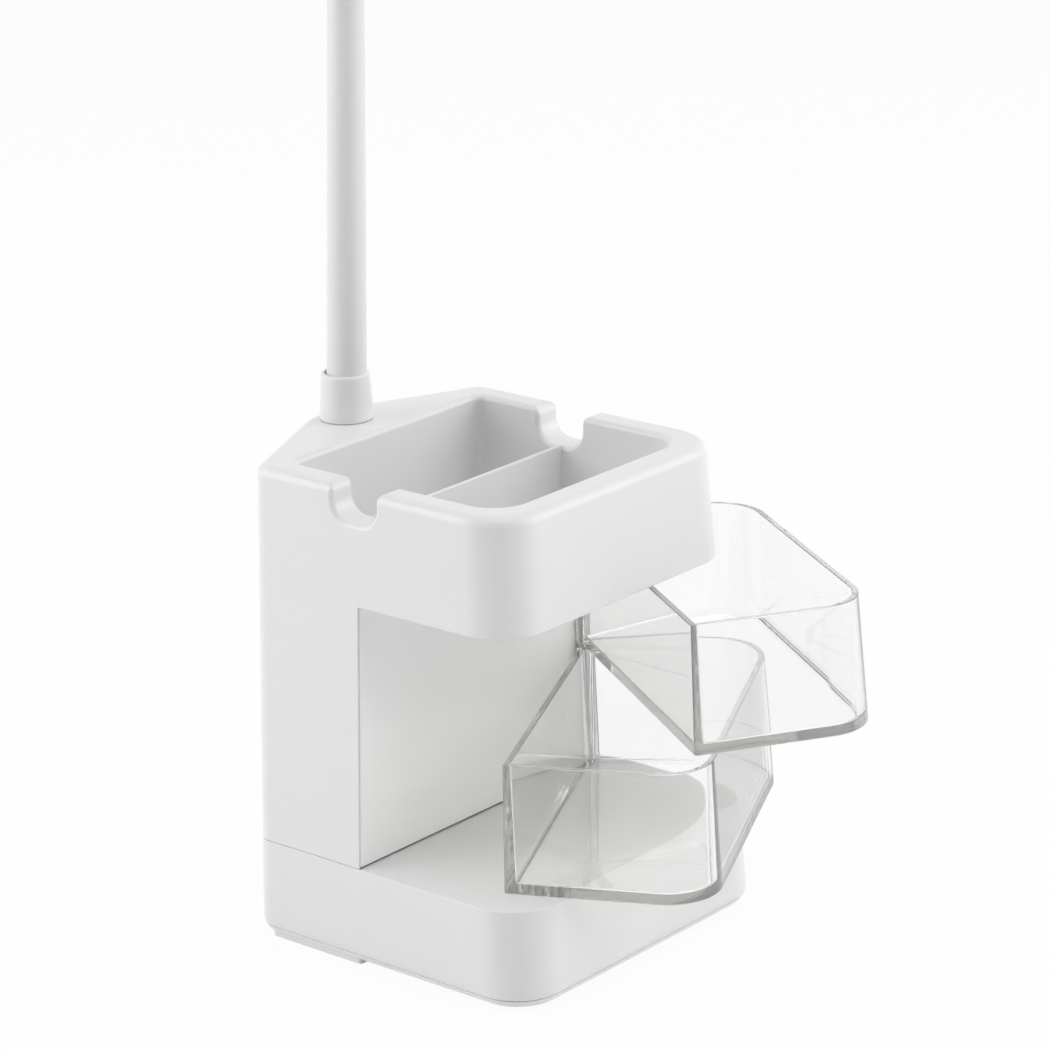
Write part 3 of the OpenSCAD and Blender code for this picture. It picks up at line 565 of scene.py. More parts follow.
def foot_shell():
    lip, top_r, steps = 0.12, 0.25, 10
    rings = [body_outline(SHELL_Z, edge_inset(SHELL_Z) + lip)]
    for k in range(steps + 1):
        z = SHELL_Z + lip + (COVER_Z + EDGE_R - SHELL_Z - lip) * k / steps
        rings.append(body_outline(z, edge_inset(z)))
    rings += [body_outline(FOOT_H - down, inset) for inset, down in rounding(top_r, 4)]
    shell = loft("foot_shell", rings)
    ceiling = FOOT_H - FOOT_TOP_T
    room = loft("room", [body_outline(0, WALL + 2), body_outline(SHELL_Z + EDGE_R, WALL),
                         body_outline(ceiling, WALL)])
    combine(shell, room)
    for x, y in COVER_POSTS:
        combine(shell, rod("post", POST_R, SHELL_Z + SEAM, ceiling + 1, (x, y, 0)), "UNION")
        combine(shell, rod("hole", SCREW_R + FIT, 0, COVER_Z + SCREW_REACH + 1, (x, y, 0)))
    for x, y in BALLAST_POSTS:
        combine(shell, rod("post", POST_R, BALLAST_TOP_Z, ceiling + 1, (x, y, 0)), "UNION")
        combine(shell, rod("hole", SCREW_R + FIT, 0, ceiling - 1, (x, y, 0)))
    combine(shell, rod("boss", BOSS_POST_R, PIN_Z - 2, ceiling + 1, (PIVOT_X, PIVOT_Y, 0)),
            "UNION")
    return finish_edges(tidy(combine(shell, pin_bore())))


dress(foot_shell(), WHITE, "white_plastic", "base", "base_shell")

# %% [markdown]
# ## Underneath
# The cover closes the foot, with four sunk screws and one rubber pad that keeps the lamp
# from sliding. Four equal screws are a case for Geometry Nodes: one screw is made, and a
# small tree puts a copy on every point. It turns each by its own angle, because no one
# stops four screws at the same angle.

# %% Cover and pad
PAD_W, PAD_FRONT, PAD_BACK, PAD_R, PAD_SINK = 38, -36, 34, 8, 1


def pad_outline(z, grow):
    return box_outline(z, PAD_W + grow, PAD_FRONT - grow, PAD_BACK + grow, PAD_R, PAD_R)


def cover():
    top, steps = COVER_Z + COVER_T, 8
    levels = [COVER_Z + (COVER_T - 0.1) * k / steps for k in range(steps + 1)]
    rings = [body_outline(z, edge_inset(z)) for z in levels]
    plate = loft("cover", rings + [body_outline(top, edge_inset(top) + 0.12)])
    combine(plate, loft("pad_seat", [pad_outline(z, SEAM) for z in (-1, COVER_Z + PAD_SINK)]))
    for x, y in COVER_POSTS:
        sink = lathe("sink", [(0, 0), (SCREW_HEAD_R + SEAM, 0),
                              (SCREW_HEAD_R + SEAM, COVER_Z + 0.05),
                              (SCREW_R + SEAM, COVER_Z + SCREW_HEAD_H + SEAM),
                              (SCREW_R + SEAM, top + 1), (0, top + 1)])
        combine(plate, place(sink, (x, y, 0)))
    return finish_edges(plate, width=0.15)


def pad():
    rings = [pad_outline(up, -inset) for up, inset in rounding(0.3, 3)]
    return finish_edges(loft("pad", rings + [pad_outline(COVER_Z + PAD_SINK - FIT, 0)]))


dress(cover(), WHITE, "white_plastic", "base", "bottom_cover")
dress(pad(), RUBBER, "dark_rubber", "base", "foot_pad")


# %% Copies tree
def end_tree(tree, inside, made):
    """Ends a tree: what it made becomes real geometry, with the Material input on it."""
    nodes, links = tree.nodes, tree.links
    real, paint = nodes.new("GeometryNodeRealizeInstances"), nodes.new("GeometryNodeSetMaterial")
    links.new(made, real.inputs[0])
    links.new(real.outputs[0], paint.inputs["Geometry"])
    links.new(inside.outputs["Material"], paint.inputs["Material"])
    links.new(paint.outputs[0], nodes.new("NodeGroupOutput").inputs[0])
    return tree


def copies_tree():
    """One copy of a piece on every point, each turned about Z by its own angle."""
    tree = bpy.data.node_groups.new("copies_on_points", "GeometryNodeTree")
    socket(tree, "Geometry", "NodeSocketGeometry")
    socket(tree, "Copied Piece", "NodeSocketObject")
    socket(tree, "Largest Turn", "NodeSocketFloat", 0)
    socket(tree, "Seed", "NodeSocketInt", 1)
    socket(tree, "Material", "NodeSocketMaterial")
    socket(tree, "Geometry", "NodeSocketGeometry", in_out="OUTPUT")
    nodes, links = tree.nodes, tree.links
    inside, points = nodes.new("NodeGroupInput"), nodes.new("GeometryNodeMeshToPoints")
    source, chance = nodes.new("GeometryNodeObjectInfo"), nodes.new("FunctionNodeRandomValue")
    spin, copies = nodes.new("ShaderNodeCombineXYZ"), nodes.new("GeometryNodeInstanceOnPoints")
    links.new(inside.outputs["Geometry"], points.inputs["Mesh"])
    links.new(inside.outputs["Copied Piece"], source.inputs["Object"])
    links.new(inside.outputs["Largest Turn"], chance.inputs[3])
    links.new(inside.outputs["Seed"], chance.inputs["Seed"])
    links.new(chance.outputs[1], spin.inputs["Z"])
    links.new(points.outputs[0], copies.inputs["Points"])
    links.new(source.outputs["Geometry"], copies.inputs["Instance"])
    links.new(spin.outputs[0], copies.inputs["Rotation"])
    return end_tree(tree, inside, copies.outputs[0])


def set_input(modifier, name, value):
    """Sets a modifier's input by its socket's identifier."""
    for item in modifier.node_group.interface.items_tree:
        if item.item_type == "SOCKET" and item.in_out == "INPUT" and item.name == name:
            modifier[item.identifier] = value


def mesh_by_nodes(obj, tree, **values):
    """Runs a node tree on an object and returns its result as a plain mesh object."""
    modifier = obj.modifiers.new(tree.name, "NODES")
    modifier.node_group = tree
    for name, value in values.items():
        set_input(modifier, name.replace("_", " "), value)
    depsgraph = bpy.context.evaluated_depsgraph_get()
    mesh = bpy.data.meshes.new_from_object(obj.evaluated_get(depsgraph))
    result = new_object(obj.name + "_piece", mesh)
    bpy.data.objects.remove(obj)
    bm = bmesh.new()
    bm.from_mesh(mesh)
    bmesh.ops.remove_doubles(bm, verts=bm.verts, dist=1e-6)
    bmesh.ops.recalc_face_normals(bm, faces=bm.faces)
    bm.to_mesh(mesh)
    bm.free()
    return result


COPIES = copies_tree()


def copies_at(name, piece, places, material, turn=0.0, seed=1):
    """Copies of one piece at places in millimetres, as one mesh. The piece goes."""
    mesh = bpy.data.meshes.new(name)
    mesh.from_pydata([tuple(Vector(p) * MM) for p in places], [], [])
    result = mesh_by_nodes(new_object(name, mesh), COPIES, Copied_Piece=piece,
                           Largest_Turn=turn, Seed=seed, Material=material)
    bpy.data.objects.remove(piece)
    return finish_edges(result)


# %% Cover screws
def cross_screw(length):
    """Countersunk screw with a cross recess, head down at the origin."""
    screw = lathe("screw", [(0, 0), (SCREW_HEAD_R - 0.2, 0), (SCREW_HEAD_R - 0.05, 0.12),
                            (SCREW_HEAD_R - 0.15, 0.3), (SCREW_R, SCREW_HEAD_H),
                            (SCREW_R, length - 1), (0.5, length)], steps=40)
    wide, thin, deep = 1.7, 0.32, 1.25
    for x, y in ((wide, thin), (thin, wide)):
        wing = loft("wing", [[(-x, -y, -0.5), (x, -y, -0.5), (x, y, -0.5), (-x, y, -0.5)],
                             [(-x / 2, -y / 2, deep), (x / 2, -y / 2, deep),
                              (x / 2, y / 2, deep), (-x / 2, y / 2, deep)]])
        combine(screw, wing)
    return screw


screws = copies_at("cover_screw", cross_screw(SCREW_REACH),
                   [(x, y, COVER_Z) for x, y in COVER_POSTS], STEEL, turn=math.pi / 2, seed=5)
dress(screws, STEEL, "steel", "base", "cover_screws")

# %% [markdown]
# ## The column and the cup
# Column and cup are one moulding. It starts as a plain loft of the body outline, then the
# mouth, the cup, the rim notches and the seats of the two plates are cut away, in the order
# a toolmaker would think of them. The notches are cut with a flared tool, so that their
# edges roll over into the wall.

# %% Cup outline
def cup_outline(z, inset):
    """Plan of the cup's inside at height z."""
    drop = CUP_DRAFT * (BODY_H - z)
    w = half_width(BODY_H) - CUP_WALL - drop - inset
    front = front_at(BODY_H) + CUP_WALL + drop + inset
    return box_outline(z, w, front, CUP_BACK - drop - inset, max(CUP_FRONT_R - inset, 1),
                       max(CUP_BACK_R - inset, 0.4))


def cup_room():
    rings = [cup_outline(CUP_FLOOR + up, inset) for up, inset in rounding(CUP_FLOOR_R, 6)]
    rings += [cup_outline(BODY_H - down, -flare) for flare, down in rounding(LIP_R, 8)]
    rings.append(cup_outline(BODY_H + 1, -LIP_R))
    return loft("cup_room", rings)


print("cup is", round(2 * (half_width(BODY_H) - CUP_WALL), 1), "mm wide inside")

# %% Notch tool
NOTCH_W, NOTCH_DEPTH, NOTCH_R, NOTCH_TOP_R, NOTCH_EDGE_R = 16, 10.2, 5.5, 3, 1.6


def notch_line(grow):
    """Half-round notch as (y, z) points, down one side and up the other."""
    w, z0, r = NOTCH_W / 2 + grow, BODY_H - NOTCH_DEPTH - grow, NOTCH_R + grow
    t = max(NOTCH_TOP_R - grow, 0.2)
    line = [(-w - t, BODY_H + 1)]
    line += arc(-w - t, BODY_H - t, t, 90, 0, 8)
    line += arc(-w + r, z0 + r, r, 180, 270, 14)
    line += arc(w - r, z0 + r, r, 270, 360, 14)
    line += arc(w + t, BODY_H - t, t, 180, 90, 8)
    return line + [(w + t, BODY_H + 1)]


def notch_tool(side):
    """Flared cutter through the cup's wall on one side."""
    def wall(outer, z):
        z = min(z, BODY_H)
        if outer:
            return half_width(z)
        return half_width(BODY_H) - CUP_WALL - CUP_DRAFT * (BODY_H - z)
    skin, reach, edge = 0.05, 4, rounding(NOTCH_EDGE_R, 6)
    stations = [(False, -reach, NOTCH_EDGE_R)]
    stations += [(False, depth - skin, flare) for depth, flare in edge]
    stations += [(True, skin - depth, flare) for flare, depth in edge]
    stations.append((True, reach, NOTCH_EDGE_R))
    return loft("notch_tool", [[(side * (wall(outer, z) + d), y, z) for y, z in notch_line(g)]
                               for outer, d, g in stations])


print("notch points:", len(notch_line(0)))


# %% Housing
CEILING_Z, NECK_Y, DECK_BORE_R, UNDER_T = 101, 46.5, 5.2, 2
SEAT_IN = PANEL_LIP - 0.1
INLET_R, INLET_X, INLET_Z = 4.4, 24, 52
INLET_TURN = turned(-90, 0, -PROW_ANGLE)
INLET_AT = (INLET_X, tip_at(INLET_Z) - INLET_X * math.tan(math.radians(PROW_ANGLE)), INLET_Z)


def plate_outline(inset, low, high, y):
    """Plate across the column, as seen from the front."""
    return [(-half_width(low) + inset, y, low), (half_width(low) - inset, y, low),
            (half_width(high) - inset, y, high), (-half_width(high) + inset, y, high)]


def under_outline(z, inset):
    back = COLUMN_Y + PANEL_T + SEAM - inset
    return box_outline(z, half_width(z) - inset, front_at(z) + inset, back, FRONT_R - inset, 1)


def housing():
    low = FOOT_H + SEAM / 2
    rings = [body_outline(low, 0)]
    rings += [body_outline(BODY_H - down, inset) for inset, down in rounding(RIM_R, 10)]
    body = loft("housing_skin", rings)
    combine(body, block("mouth", (-80, -90, 0), (80, COLUMN_Y, CUP_Z)))
    seat = COLUMN_Y + PANEL_T + SEAM
    combine(body, loft("panel_seat", [plate_outline(SEAT_IN, low - 1, CUP_Z, y)
                                      for y in (COLUMN_Y - 1, seat)]))
    combine(body, loft("under_seat", [under_outline(z, SEAT_IN)
                                      for z in (CUP_Z - 1, CUP_Z + UNDER_T + SEAM)]))
    combine(body, cup_room())
    for side in (1, -1):
        combine(body, notch_tool(side))
    finish_edges(tidy(body), width=0.3)
    body.modifiers.clear()
    combine(body, loft("hollow", [body_outline(z, WALL, seat, WALL + 1)
                                  for z in (0, CEILING_Z)]))
    combine(body, loft("window", [plate_outline(PANEL_LIP + 1.6, FOOT_H + 4, CUP_Z - 4, y)
                                  for y in (seat - 1, COLUMN_Y + PANEL_T + 2)]))
    combine(body, rod("deck_bore", DECK_BORE_R, CEILING_Z - 1, BODY_H + 1, (0, NECK_Y, 0)))
    combine(body, rod("inlet_bore", INLET_R + SEAM, -10, 10, INLET_AT, INLET_TURN))
    return finish_edges(combine(body, pin_bore()))


dress(housing(), WHITE, "white_plastic", "base", "housing")

# %% [markdown]
# ## Plates: the front panel, the underside and the divider
# The panel on the column is the glossiest surface of the lamp and mirrors the trays. Its white
# is painted lighter than the body's, as painted light in the shade of the mouth. Plates are
# lofts through their thickness, with a small round on each long edge.

# %% Plates
def soft_plate(name, outline_at, start, end, r=0.25):
    """Loft through a plate's thickness. outline_at(t, inset) gives the ring at depth t."""
    rings = [outline_at(start + up, inset) for up, inset in rounding(r, 3)]
    rings += [outline_at(end - down, inset) for inset, down in rounding(r, 3)]
    return finish_edges(loft(name, rings))


panel = soft_plate("column_plate",
                   lambda y, i: plate_outline(PANEL_LIP + i, FOOT_H + 0.4 + i, CUP_Z - SEAM - i,
                                              y),
                   COLUMN_Y, COLUMN_Y + PANEL_T)
combine(panel, rod("groove", BOSS_R + 0.6, 0, BODY_H, (PIVOT_X, PIVOT_Y, 0)))
dress(finish_edges(panel, width=0.1), PAINTED_BRIGHT_PANEL, "grey_panel", "base", "column_panel")
underside = soft_plate("underside_plate", lambda z, i: under_outline(z, PANEL_LIP + i),
                       CUP_Z, CUP_Z + UNDER_T)
combine(underside, pin_bore())
dress(finish_edges(underside), PAINTED_BRIGHT_PANEL, "grey_panel", "base", "cup_underside")


def divider_outline(y, inset):
    low, high = CUP_FLOOR + 0.05 + inset, BODY_H - DIVIDER_DROP - inset
    wide = [half_width(BODY_H) - CUP_WALL - CUP_DRAFT * (BODY_H - z) + 0.8 - inset
            for z in (low, high)]
    return [(-wide[0], y, low), (wide[0], y, low), (wide[1], y, high), (-wide[1], y, high)]


divider = soft_plate("divider_plate", divider_outline, -DIVIDER_T / 2, DIVIDER_T / 2, r=0.4)
dress(divider, WHITE, "white_plastic", "base", "cup_divider")

# %% [markdown]
# ## The clear trays
# Clear plastic shows every surface twice, so the tray has to be one honest closed wall: a
# drafted inside, a thick floor with a rounded corner, and fine polished edges. The corner
# boss is joined in and bored for the pin.

# %% Tray
DRAWER_GAP, DRAWER_INSET, RIM_T, FOOT_T, FLOOR_T, FLOOR_R = 0.7, 0.4, 1.8, 2.8, 2.2, 1
TRAY_INNER_R, TRAY_BACK_R, TRAY_BACK_INNER_R, RUNNING_FIT = 1.5, 0.8, 0.6, 0.06
DRAWER_BACK = COLUMN_Y - 0.5
DRAWER_H = (CUP_Z - FOOT_H - 3 * DRAWER_GAP) / 2


def tray_outline(z, inset, inner):
    """Plan of a closed tray. Outside, it ends on the round of the boss; inside, the wall
    is inset away from it."""
    w, f = half_width(z) - DRAWER_INSET, front_at(z) + DRAWER_INSET
    back = DRAWER_BACK - inset
    rf = FRONT_R - inset
    corner = Vector((w - FRONT_R, f + FRONT_R))
    rp = TRAY_INNER_R if inner else BOSS_R - inset
    pin = Vector((PIVOT_X, PIVOT_Y))
    if inner:
        pin = Vector((PIVOT_X + BOSS_R - inset - rp, back - rp))
    run = pin - corner
    lean = math.degrees(math.atan2(run.y, run.x) - math.acos((rf - rp) / run.length))
    last = 90 if inner else math.degrees(math.asin((back - pin.y) / rp))
    rb = TRAY_BACK_INNER_R if inner else max(TRAY_BACK_R - inset, 0.4)
    points = arc(corner.x, corner.y, rf, -90, lean, 20)
    points += arc(pin.x, pin.y, rp, lean, last, 12)
    points += arc(-w + inset + rb, back - rb, rb, 90, 180, 5)
    points += arc(-w + FRONT_R, f + FRONT_R, rf, 180, 270, 20)
    return [(x, y, z) for x, y in points]


def tray(name, base_z, angle):
    """One tray at its height, swung open about the pin by degrees."""
    top, floor = base_z + DRAWER_H, base_z + FLOOR_T
    slope = (FOOT_T - RIM_T) / (DRAWER_H - FLOOR_T)
    low_r, rim = 0.5, 0.35
    rings = [tray_outline(base_z + up, inset, False) for up, inset in rounding(low_r, 4)]
    rings += [tray_outline(top - down, inset, False) for inset, down in rounding(rim, 4)]
    rings += [tray_outline(top - down, RIM_T - inset, True) for down, inset in rounding(rim, 4)]
    for up, inset in reversed(rounding(FLOOR_R, 6)):
        z = floor + up
        wall = FOOT_T - slope * (z - floor)
        rings.append(tray_outline(z, wall + inset, True))
    box = loft(name, rings)
    r, low, high, edge = BOSS_R - 0.05, base_z + 0.15, top - 0.15, 0.3
    boss = place(lathe("boss", [(0, low), (r - edge, low), (r, low + edge), (r, high - edge),
                                (r - edge, high), (0, high)]), (PIVOT_X, PIVOT_Y, 0))
    combine(box, boss, "UNION")
    combine(box, rod("bore", PIN_R + RUNNING_FIT, base_z - 1, top + 1, (PIVOT_X, PIVOT_Y, 0)))
    turn = Matrix.Rotation(math.radians(angle), 4, "Z")
    pin = Matrix.Translation(Vector((PIVOT_X, PIVOT_Y, 0)) * MM)
    box.data.transform(pin @ turn @ pin.inverted())
    return finish_edges(box)


LOWER_Z = FOOT_H + DRAWER_GAP
UPPER_Z = LOWER_Z + DRAWER_H + DRAWER_GAP
LOWER_OPEN, UPPER_OPEN = 26.4, 58
for name, base_z, angle, body, solid in (
        ("lower_tray", LOWER_Z, LOWER_OPEN, "drawer_low", "lower_drawer"),
        ("upper_tray", UPPER_Z, UPPER_OPEN, "drawer_up", "upper_drawer")):
    dress(tray(name, base_z, angle), CLEAR, "clear_plastic", body, solid)

# %% Pin and washers
def pin():
    tip = 0.4
    profile = [(0, PIN_Z), (PIN_R - tip, PIN_Z), (PIN_R, PIN_Z + tip), (PIN_R, PIN_TOP - tip),
               (PIN_R - tip, PIN_TOP), (0, PIN_TOP)]
    return finish_edges(place(lathe("pin", profile, steps=48), (PIVOT_X, PIVOT_Y, 0)))


def washers():
    t, inner, outer = DRAWER_GAP - 2 * SEAM, PIN_R + RUNNING_FIT, BOSS_R
    one = lathe("one_washer", [(inner, 0), (outer - 0.05, 0), (outer, 0.05), (outer, t - 0.05),
                               (outer - 0.05, t), (inner, t)], steps=48, ring=True)
    levels = (FOOT_H, LOWER_Z + DRAWER_H, UPPER_Z + DRAWER_H)
    return copies_at("washer", one, [(PIVOT_X, PIVOT_Y, z + SEAM) for z in levels], STEEL)


dress(pin(), STEEL, "steel", "base", "pivot_pin")
dress(washers(), STEEL, "steel", "base", "pivot_washers")

# %% [markdown]
# ## The neck
# A steel core in a silicone sleeve bends anywhere along its length. Four hinges stand in for
# that, and the sleeve is cut in the middle of each stretch between them, so that every piece
# crosses one hinge. The tube follows a rule, a radius along a path, so Geometry Nodes make it.

# %% Neck path
NECK_LEAN, NECK_R, NECK_TAPER = math.radians(2.7), 5.86, 0.0051
BENDS, ARC_R, BEND_4 = (55, 110, 174), 60, math.radians(42)
STRAIGHT = BENDS[2]
ARC_Y = NECK_Y - STRAIGHT * math.sin(NECK_LEAN) - ARC_R * math.cos(NECK_LEAN)
ARC_Z = BODY_H + STRAIGHT * math.cos(NECK_LEAN) - ARC_R * math.sin(NECK_LEAN)
NECK_END = STRAIGHT + ARC_R * (math.pi / 2 - NECK_LEAN)


def neck_point(s):
    """Point on the neck's axis, s mm along it from the deck."""
    if s <= STRAIGHT:
        return Vector((0, NECK_Y - s * math.sin(NECK_LEAN), BODY_H + s * math.cos(NECK_LEAN)))
    a = NECK_LEAN + (s - STRAIGHT) / ARC_R
    return Vector((0, ARC_Y + ARC_R * math.cos(a), ARC_Z + ARC_R * math.sin(a)))


def neck_radius(s):
    return NECK_R - NECK_TAPER * min(s, STRAIGHT)


print("neck is", round(NECK_END), "mm long")


# %% Tube tree
def tube_tree():
    """Tube along a curve: evenly spaced rings with the curve's own radius."""
    tree = bpy.data.node_groups.new("sleeve_tube", "GeometryNodeTree")
    socket(tree, "Geometry", "NodeSocketGeometry")
    socket(tree, "Ring Spacing", "NodeSocketFloat", 0.002)
    socket(tree, "Sides", "NodeSocketInt", 40)
    socket(tree, "Material", "NodeSocketMaterial")
    socket(tree, "Geometry", "NodeSocketGeometry", in_out="OUTPUT")
    nodes, links = tree.nodes, tree.links
    inside, even = nodes.new("NodeGroupInput"), nodes.new("GeometryNodeResampleCurve")
    even.mode = "LENGTH"
    ring, skin = nodes.new("GeometryNodeCurvePrimitiveCircle"), nodes.new("GeometryNodeCurveToMesh")
    skin.inputs["Fill Caps"].default_value = True
    radius = nodes.new("GeometryNodeInputRadius")
    links.new(inside.outputs["Geometry"], even.inputs["Curve"])
    links.new(inside.outputs["Ring Spacing"], even.inputs["Length"])
    links.new(inside.outputs["Sides"], ring.inputs["Resolution"])
    ring.inputs["Radius"].default_value = 1
    links.new(even.outputs[0], skin.inputs["Curve"])
    links.new(ring.outputs["Curve"], skin.inputs["Profile Curve"])
    links.new(radius.outputs[0], skin.inputs["Scale"])
    return end_tree(tree, inside, skin.outputs[0])


TUBE = tube_tree()


def sleeve(name, start, end, spacing=1.5, sides=48):
    """Sleeve piece between two distances along the neck."""
    data = bpy.data.curves.new(name, "CURVE")
    data.dimensions = "3D"
    line = data.splines.new("POLY")
    count = max(int((end - start) / spacing), 2)
    line.points.add(count)
    for k in range(count + 1):
        s = start + (end - start) * k / count
        line.points[k].co = (*(neck_point(s) * MM), 1)
        line.points[k].radius = neck_radius(s) * MM
    piece = mesh_by_nodes(new_object(name, data), TUBE, Ring_Spacing=spacing * MM,
                          Sides=sides, Material=SLEEVE)
    return finish_edges(piece)


# %% Sleeve pieces
MIDDLES = (0.5, (BENDS[0] + BENDS[1]) / 2, (BENDS[1] + BENDS[2]) / 2,
           STRAIGHT + ARC_R * BEND_4 / 2, NECK_END)
JOINT_AT = (*BENDS, STRAIGHT + ARC_R * BEND_4)
STANDS_FOR = (("neck_sleeve_1",), ("neck_sleeve_2",), ("neck_sleeve_3",),
              ("neck_sleeve_4", "neck_sleeve_5"))
for k, (joint_s, solids) in enumerate(zip(JOINT_AT, STANDS_FOR)):
    piece = sleeve(f"sleeve_{k + 1}", MIDDLES[k], MIDDLES[k + 1])
    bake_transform(piece)
    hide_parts(*solids)
    print(piece.name, len(piece.data.polygons), "faces")

# %% Collar
COLLAR_R, COLLAR_TOP_R, COLLAR_H, COLLAR_ROUND = 7.9, 7.1, 13.8, 1


def collar():
    inner, foot = NECK_R + 0.05, 0.1
    profile = [(inner, foot), (COLLAR_R - 0.3, foot), (COLLAR_R, foot + 0.3)]
    profile += [(COLLAR_TOP_R - inset, foot + COLLAR_H - down)
                for inset, down in rounding(COLLAR_ROUND, 6)]
    profile += [(inner, foot + COLLAR_H - 0.2)]
    ring = lathe("collar_ring", profile, ring=True)
    return finish_edges(place(ring, (0, NECK_Y, BODY_H)))


dress(collar(), WHITE, "white_plastic", "base", "neck_collar")

# %% [markdown]
# ## The lamp head
# The picture stops below the head, so this is the plain slim oval that such lamps carry:
# an upper shell, a bezel and a milky diffuser, with a push button on top. All of them are
# lofts of one outline, moved in by their own walls.

# %% Head sizes
HEAD_Z, HEAD_REAR = ARC_Z + ARC_R, ARC_Y - 2
HEAD_L, HEAD_W, HEAD_TOP_T, HEAD_LOW_T, HEAD_WALL, HEAD_R = 120, 46, 7, 6.4, 1.8, 3
BEZEL_W, SEAT_T, DIFFUSER_T, SOCKET_R, SOCKET_L = 4, 1, 2, 5.2, 12
HEAD_REAR_R, HEAD_LIP, HEAD_BEVEL, SOCKET_BEHIND = 14, 0.15, 0.2, 10
BUTTON_R, BUTTON_Y, BUTTON_SINK, BUTTON_GAP = 5, HEAD_REAR - 34, 2.4, 0.3
HEAD_TOP, HEAD_LOW = HEAD_Z + HEAD_TOP_T, HEAD_Z - HEAD_LOW_T


def head_outline(z, inset):
    """Plan of the head: half round in front, with two corners at the neck."""
    w = HEAD_W / 2 - inset
    return box_outline(z, w, HEAD_REAR - HEAD_L + inset, HEAD_REAR - inset, w,
                       HEAD_REAR_R - inset)


def along_socket(name, beyond):
    """Bore round the neck's socket, from behind the neck's end to beyond the socket's."""
    return rod(name, SOCKET_R + SEAM, 0, SOCKET_BEHIND + SOCKET_L + beyond,
               (0, ARC_Y + SOCKET_BEHIND, HEAD_Z), turned(90))


print("head from z", round(HEAD_LOW, 1), "to", round(HEAD_TOP, 1))


# %% Head shells
def head_top():
    rings = [head_outline(HEAD_Z + SEAM / 2, HEAD_LIP),
             head_outline(HEAD_Z + SEAM / 2 + HEAD_LIP, 0)]
    rings += [head_outline(HEAD_TOP - down, inset) for inset, down in rounding(HEAD_R, 10)]
    shell = loft("head_shell", rings)
    combine(shell, loft("room", [head_outline(HEAD_Z - 1, HEAD_WALL),
                                 head_outline(HEAD_TOP - HEAD_WALL, HEAD_WALL + 0.6)]))
    combine(shell, along_socket("socket_bore", beyond=10))
    combine(shell, rod("button_hole", BUTTON_R + BUTTON_GAP, HEAD_Z, HEAD_TOP + 5,
                       (0, BUTTON_Y, 0)))
    return finish_edges(shell, width=HEAD_BEVEL)


def head_bezel():
    rings = [head_outline(HEAD_LOW + up, inset) for up, inset in rounding(HEAD_R, 10)]
    rings += [head_outline(HEAD_Z - SEAM / 2 - HEAD_LIP, 0),
              head_outline(HEAD_Z - SEAM / 2, HEAD_LIP)]
    frame_ring = loft("head_rim", rings)
    combine(frame_ring, loft("window", [head_outline(z, BEZEL_W + 1)
                                        for z in (HEAD_LOW - 1, HEAD_Z)]))
    combine(frame_ring, loft("seat", [head_outline(HEAD_LOW + SEAT_T, BEZEL_W - 1),
                                      head_outline(HEAD_Z, HEAD_WALL)]))
    combine(frame_ring, along_socket("socket_bore", beyond=10))
    return finish_edges(frame_ring, width=HEAD_BEVEL)


dress(head_top(), WHITE, "white_plastic", "lamp_head", "head_top")
dress(head_bezel(), WHITE, "white_plastic", "lamp_head", "head_bezel")


# %% Diffuser, socket and button
def diffuser():
    low, side = HEAD_LOW + SEAT_T + SEAM, BEZEL_W - 0.6
    rings = [head_outline(low + up, side + inset) for up, inset in rounding(0.3, 3)]
    plate = loft("head_window", rings + [head_outline(low + DIFFUSER_T, side)])
    combine(plate, along_socket("socket_room", beyond=SEAM))
    return finish_edges(plate)


def neck_socket():
    inner, edge = 2.5, 0.3
    profile = [(inner, 0), (SOCKET_R - edge, 0), (SOCKET_R, edge), (SOCKET_R, SOCKET_L - edge),
               (SOCKET_R - edge, SOCKET_L), (inner, SOCKET_L)]
    ring = lathe("neck_socket", profile, ring=True)
    return finish_edges(place(ring, (0, ARC_Y - SEAM, HEAD_Z), turned(90)))


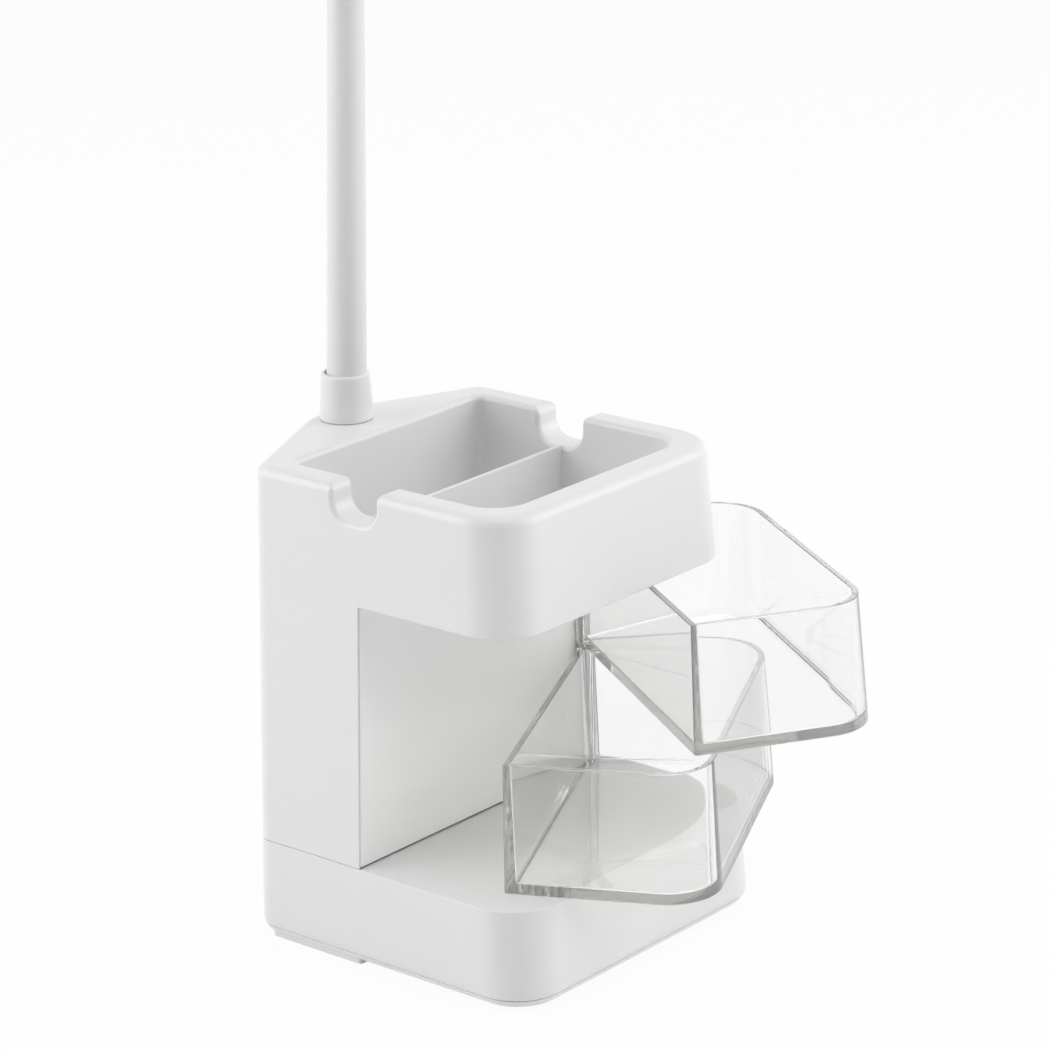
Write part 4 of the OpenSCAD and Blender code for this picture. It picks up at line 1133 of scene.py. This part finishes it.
def button():
    r, h, edge = BUTTON_R, 3.4, 0.6
    profile = [(0, 0), (r, 0)]
    profile += [(r - inset, h - down) for inset, down in rounding(edge, 6)]
    profile += [(r * 0.7, h - 0.08), (r * 0.45, h - 0.22), (r * 0.2, h - 0.3), (0, h - 0.32)]
    cap = lathe("push_cap", profile)
    return finish_edges(place(cap, (0, BUTTON_Y, HEAD_TOP - BUTTON_SINK)))


dress(diffuser(), DIFFUSER, "diffuser", "lamp_head", "head_diffuser")
dress(neck_socket(), WHITE, "white_plastic", "lamp_head", "head_socket")
dress(button(), PAINTED_BRIGHT_PANEL, "grey_panel", "button", "power_button")

# %% [markdown]
# ## The power inlet
# A low voltage socket sits in the right face of the prow, where a desk lamp's cord would
# leave it. It is turned on a lathe as a cup with a collar inside the wall and a contact in
# the middle.

# %% Inlet
INLET_L, INLET_BORE, INLET_COLLAR_R = 11, 2.8, 5.4


def inlet():
    edge, back = 0.3, -WALL - 1.2
    profile = [(0, -INLET_L), (INLET_R, -INLET_L), (INLET_R, back), (INLET_COLLAR_R, back),
               (INLET_COLLAR_R, back + 1), (INLET_R, back + 1), (INLET_R, -edge),
               (INLET_R - edge, 0),
               (INLET_BORE + edge, 0), (INLET_BORE, -edge), (INLET_BORE, 2 - INLET_L),
               (0, 2 - INLET_L)]
    return finish_edges(place(lathe("inlet_cup", profile), INLET_AT, INLET_TURN))


def contact():
    low, r = 2 - INLET_L, 0.65
    profile = [(0, low), (r, low), (r, -1.8), (r * 0.7, -1.4), (0, -1.3)]
    return finish_edges(place(lathe("inlet_contact", profile, steps=32), INLET_AT, INLET_TURN))


dress(inlet(), BLACK, "black_plastic", "base", "power_inlet")
dress(contact(), STEEL, "steel", "base")

# %% [markdown]
# ## What is left of the solid model
# The small inner pieces keep their solids and only get a finish.

# %% Finishes of the carried-over solids
BY_SLOT = {"white_plastic": WHITE, "grey_panel": PAINTED_BRIGHT_PANEL, "clear_plastic": CLEAR,
           "white_sleeve": SLEEVE, "dark_rubber": RUBBER, "steel": STEEL,
           "spreader": SPREADER, "board": BOARD, "black_plastic": BLACK,
           "diffuser": DIFFUSER}
for part in frame["record"]["subparts"]:
    node = frame["nodes"][part["node"]]
    node.data.materials.clear()
    node.data.materials.append(BY_SLOT[part["material_slot"]])
print("solids finished:", len(frame["nodes"]))
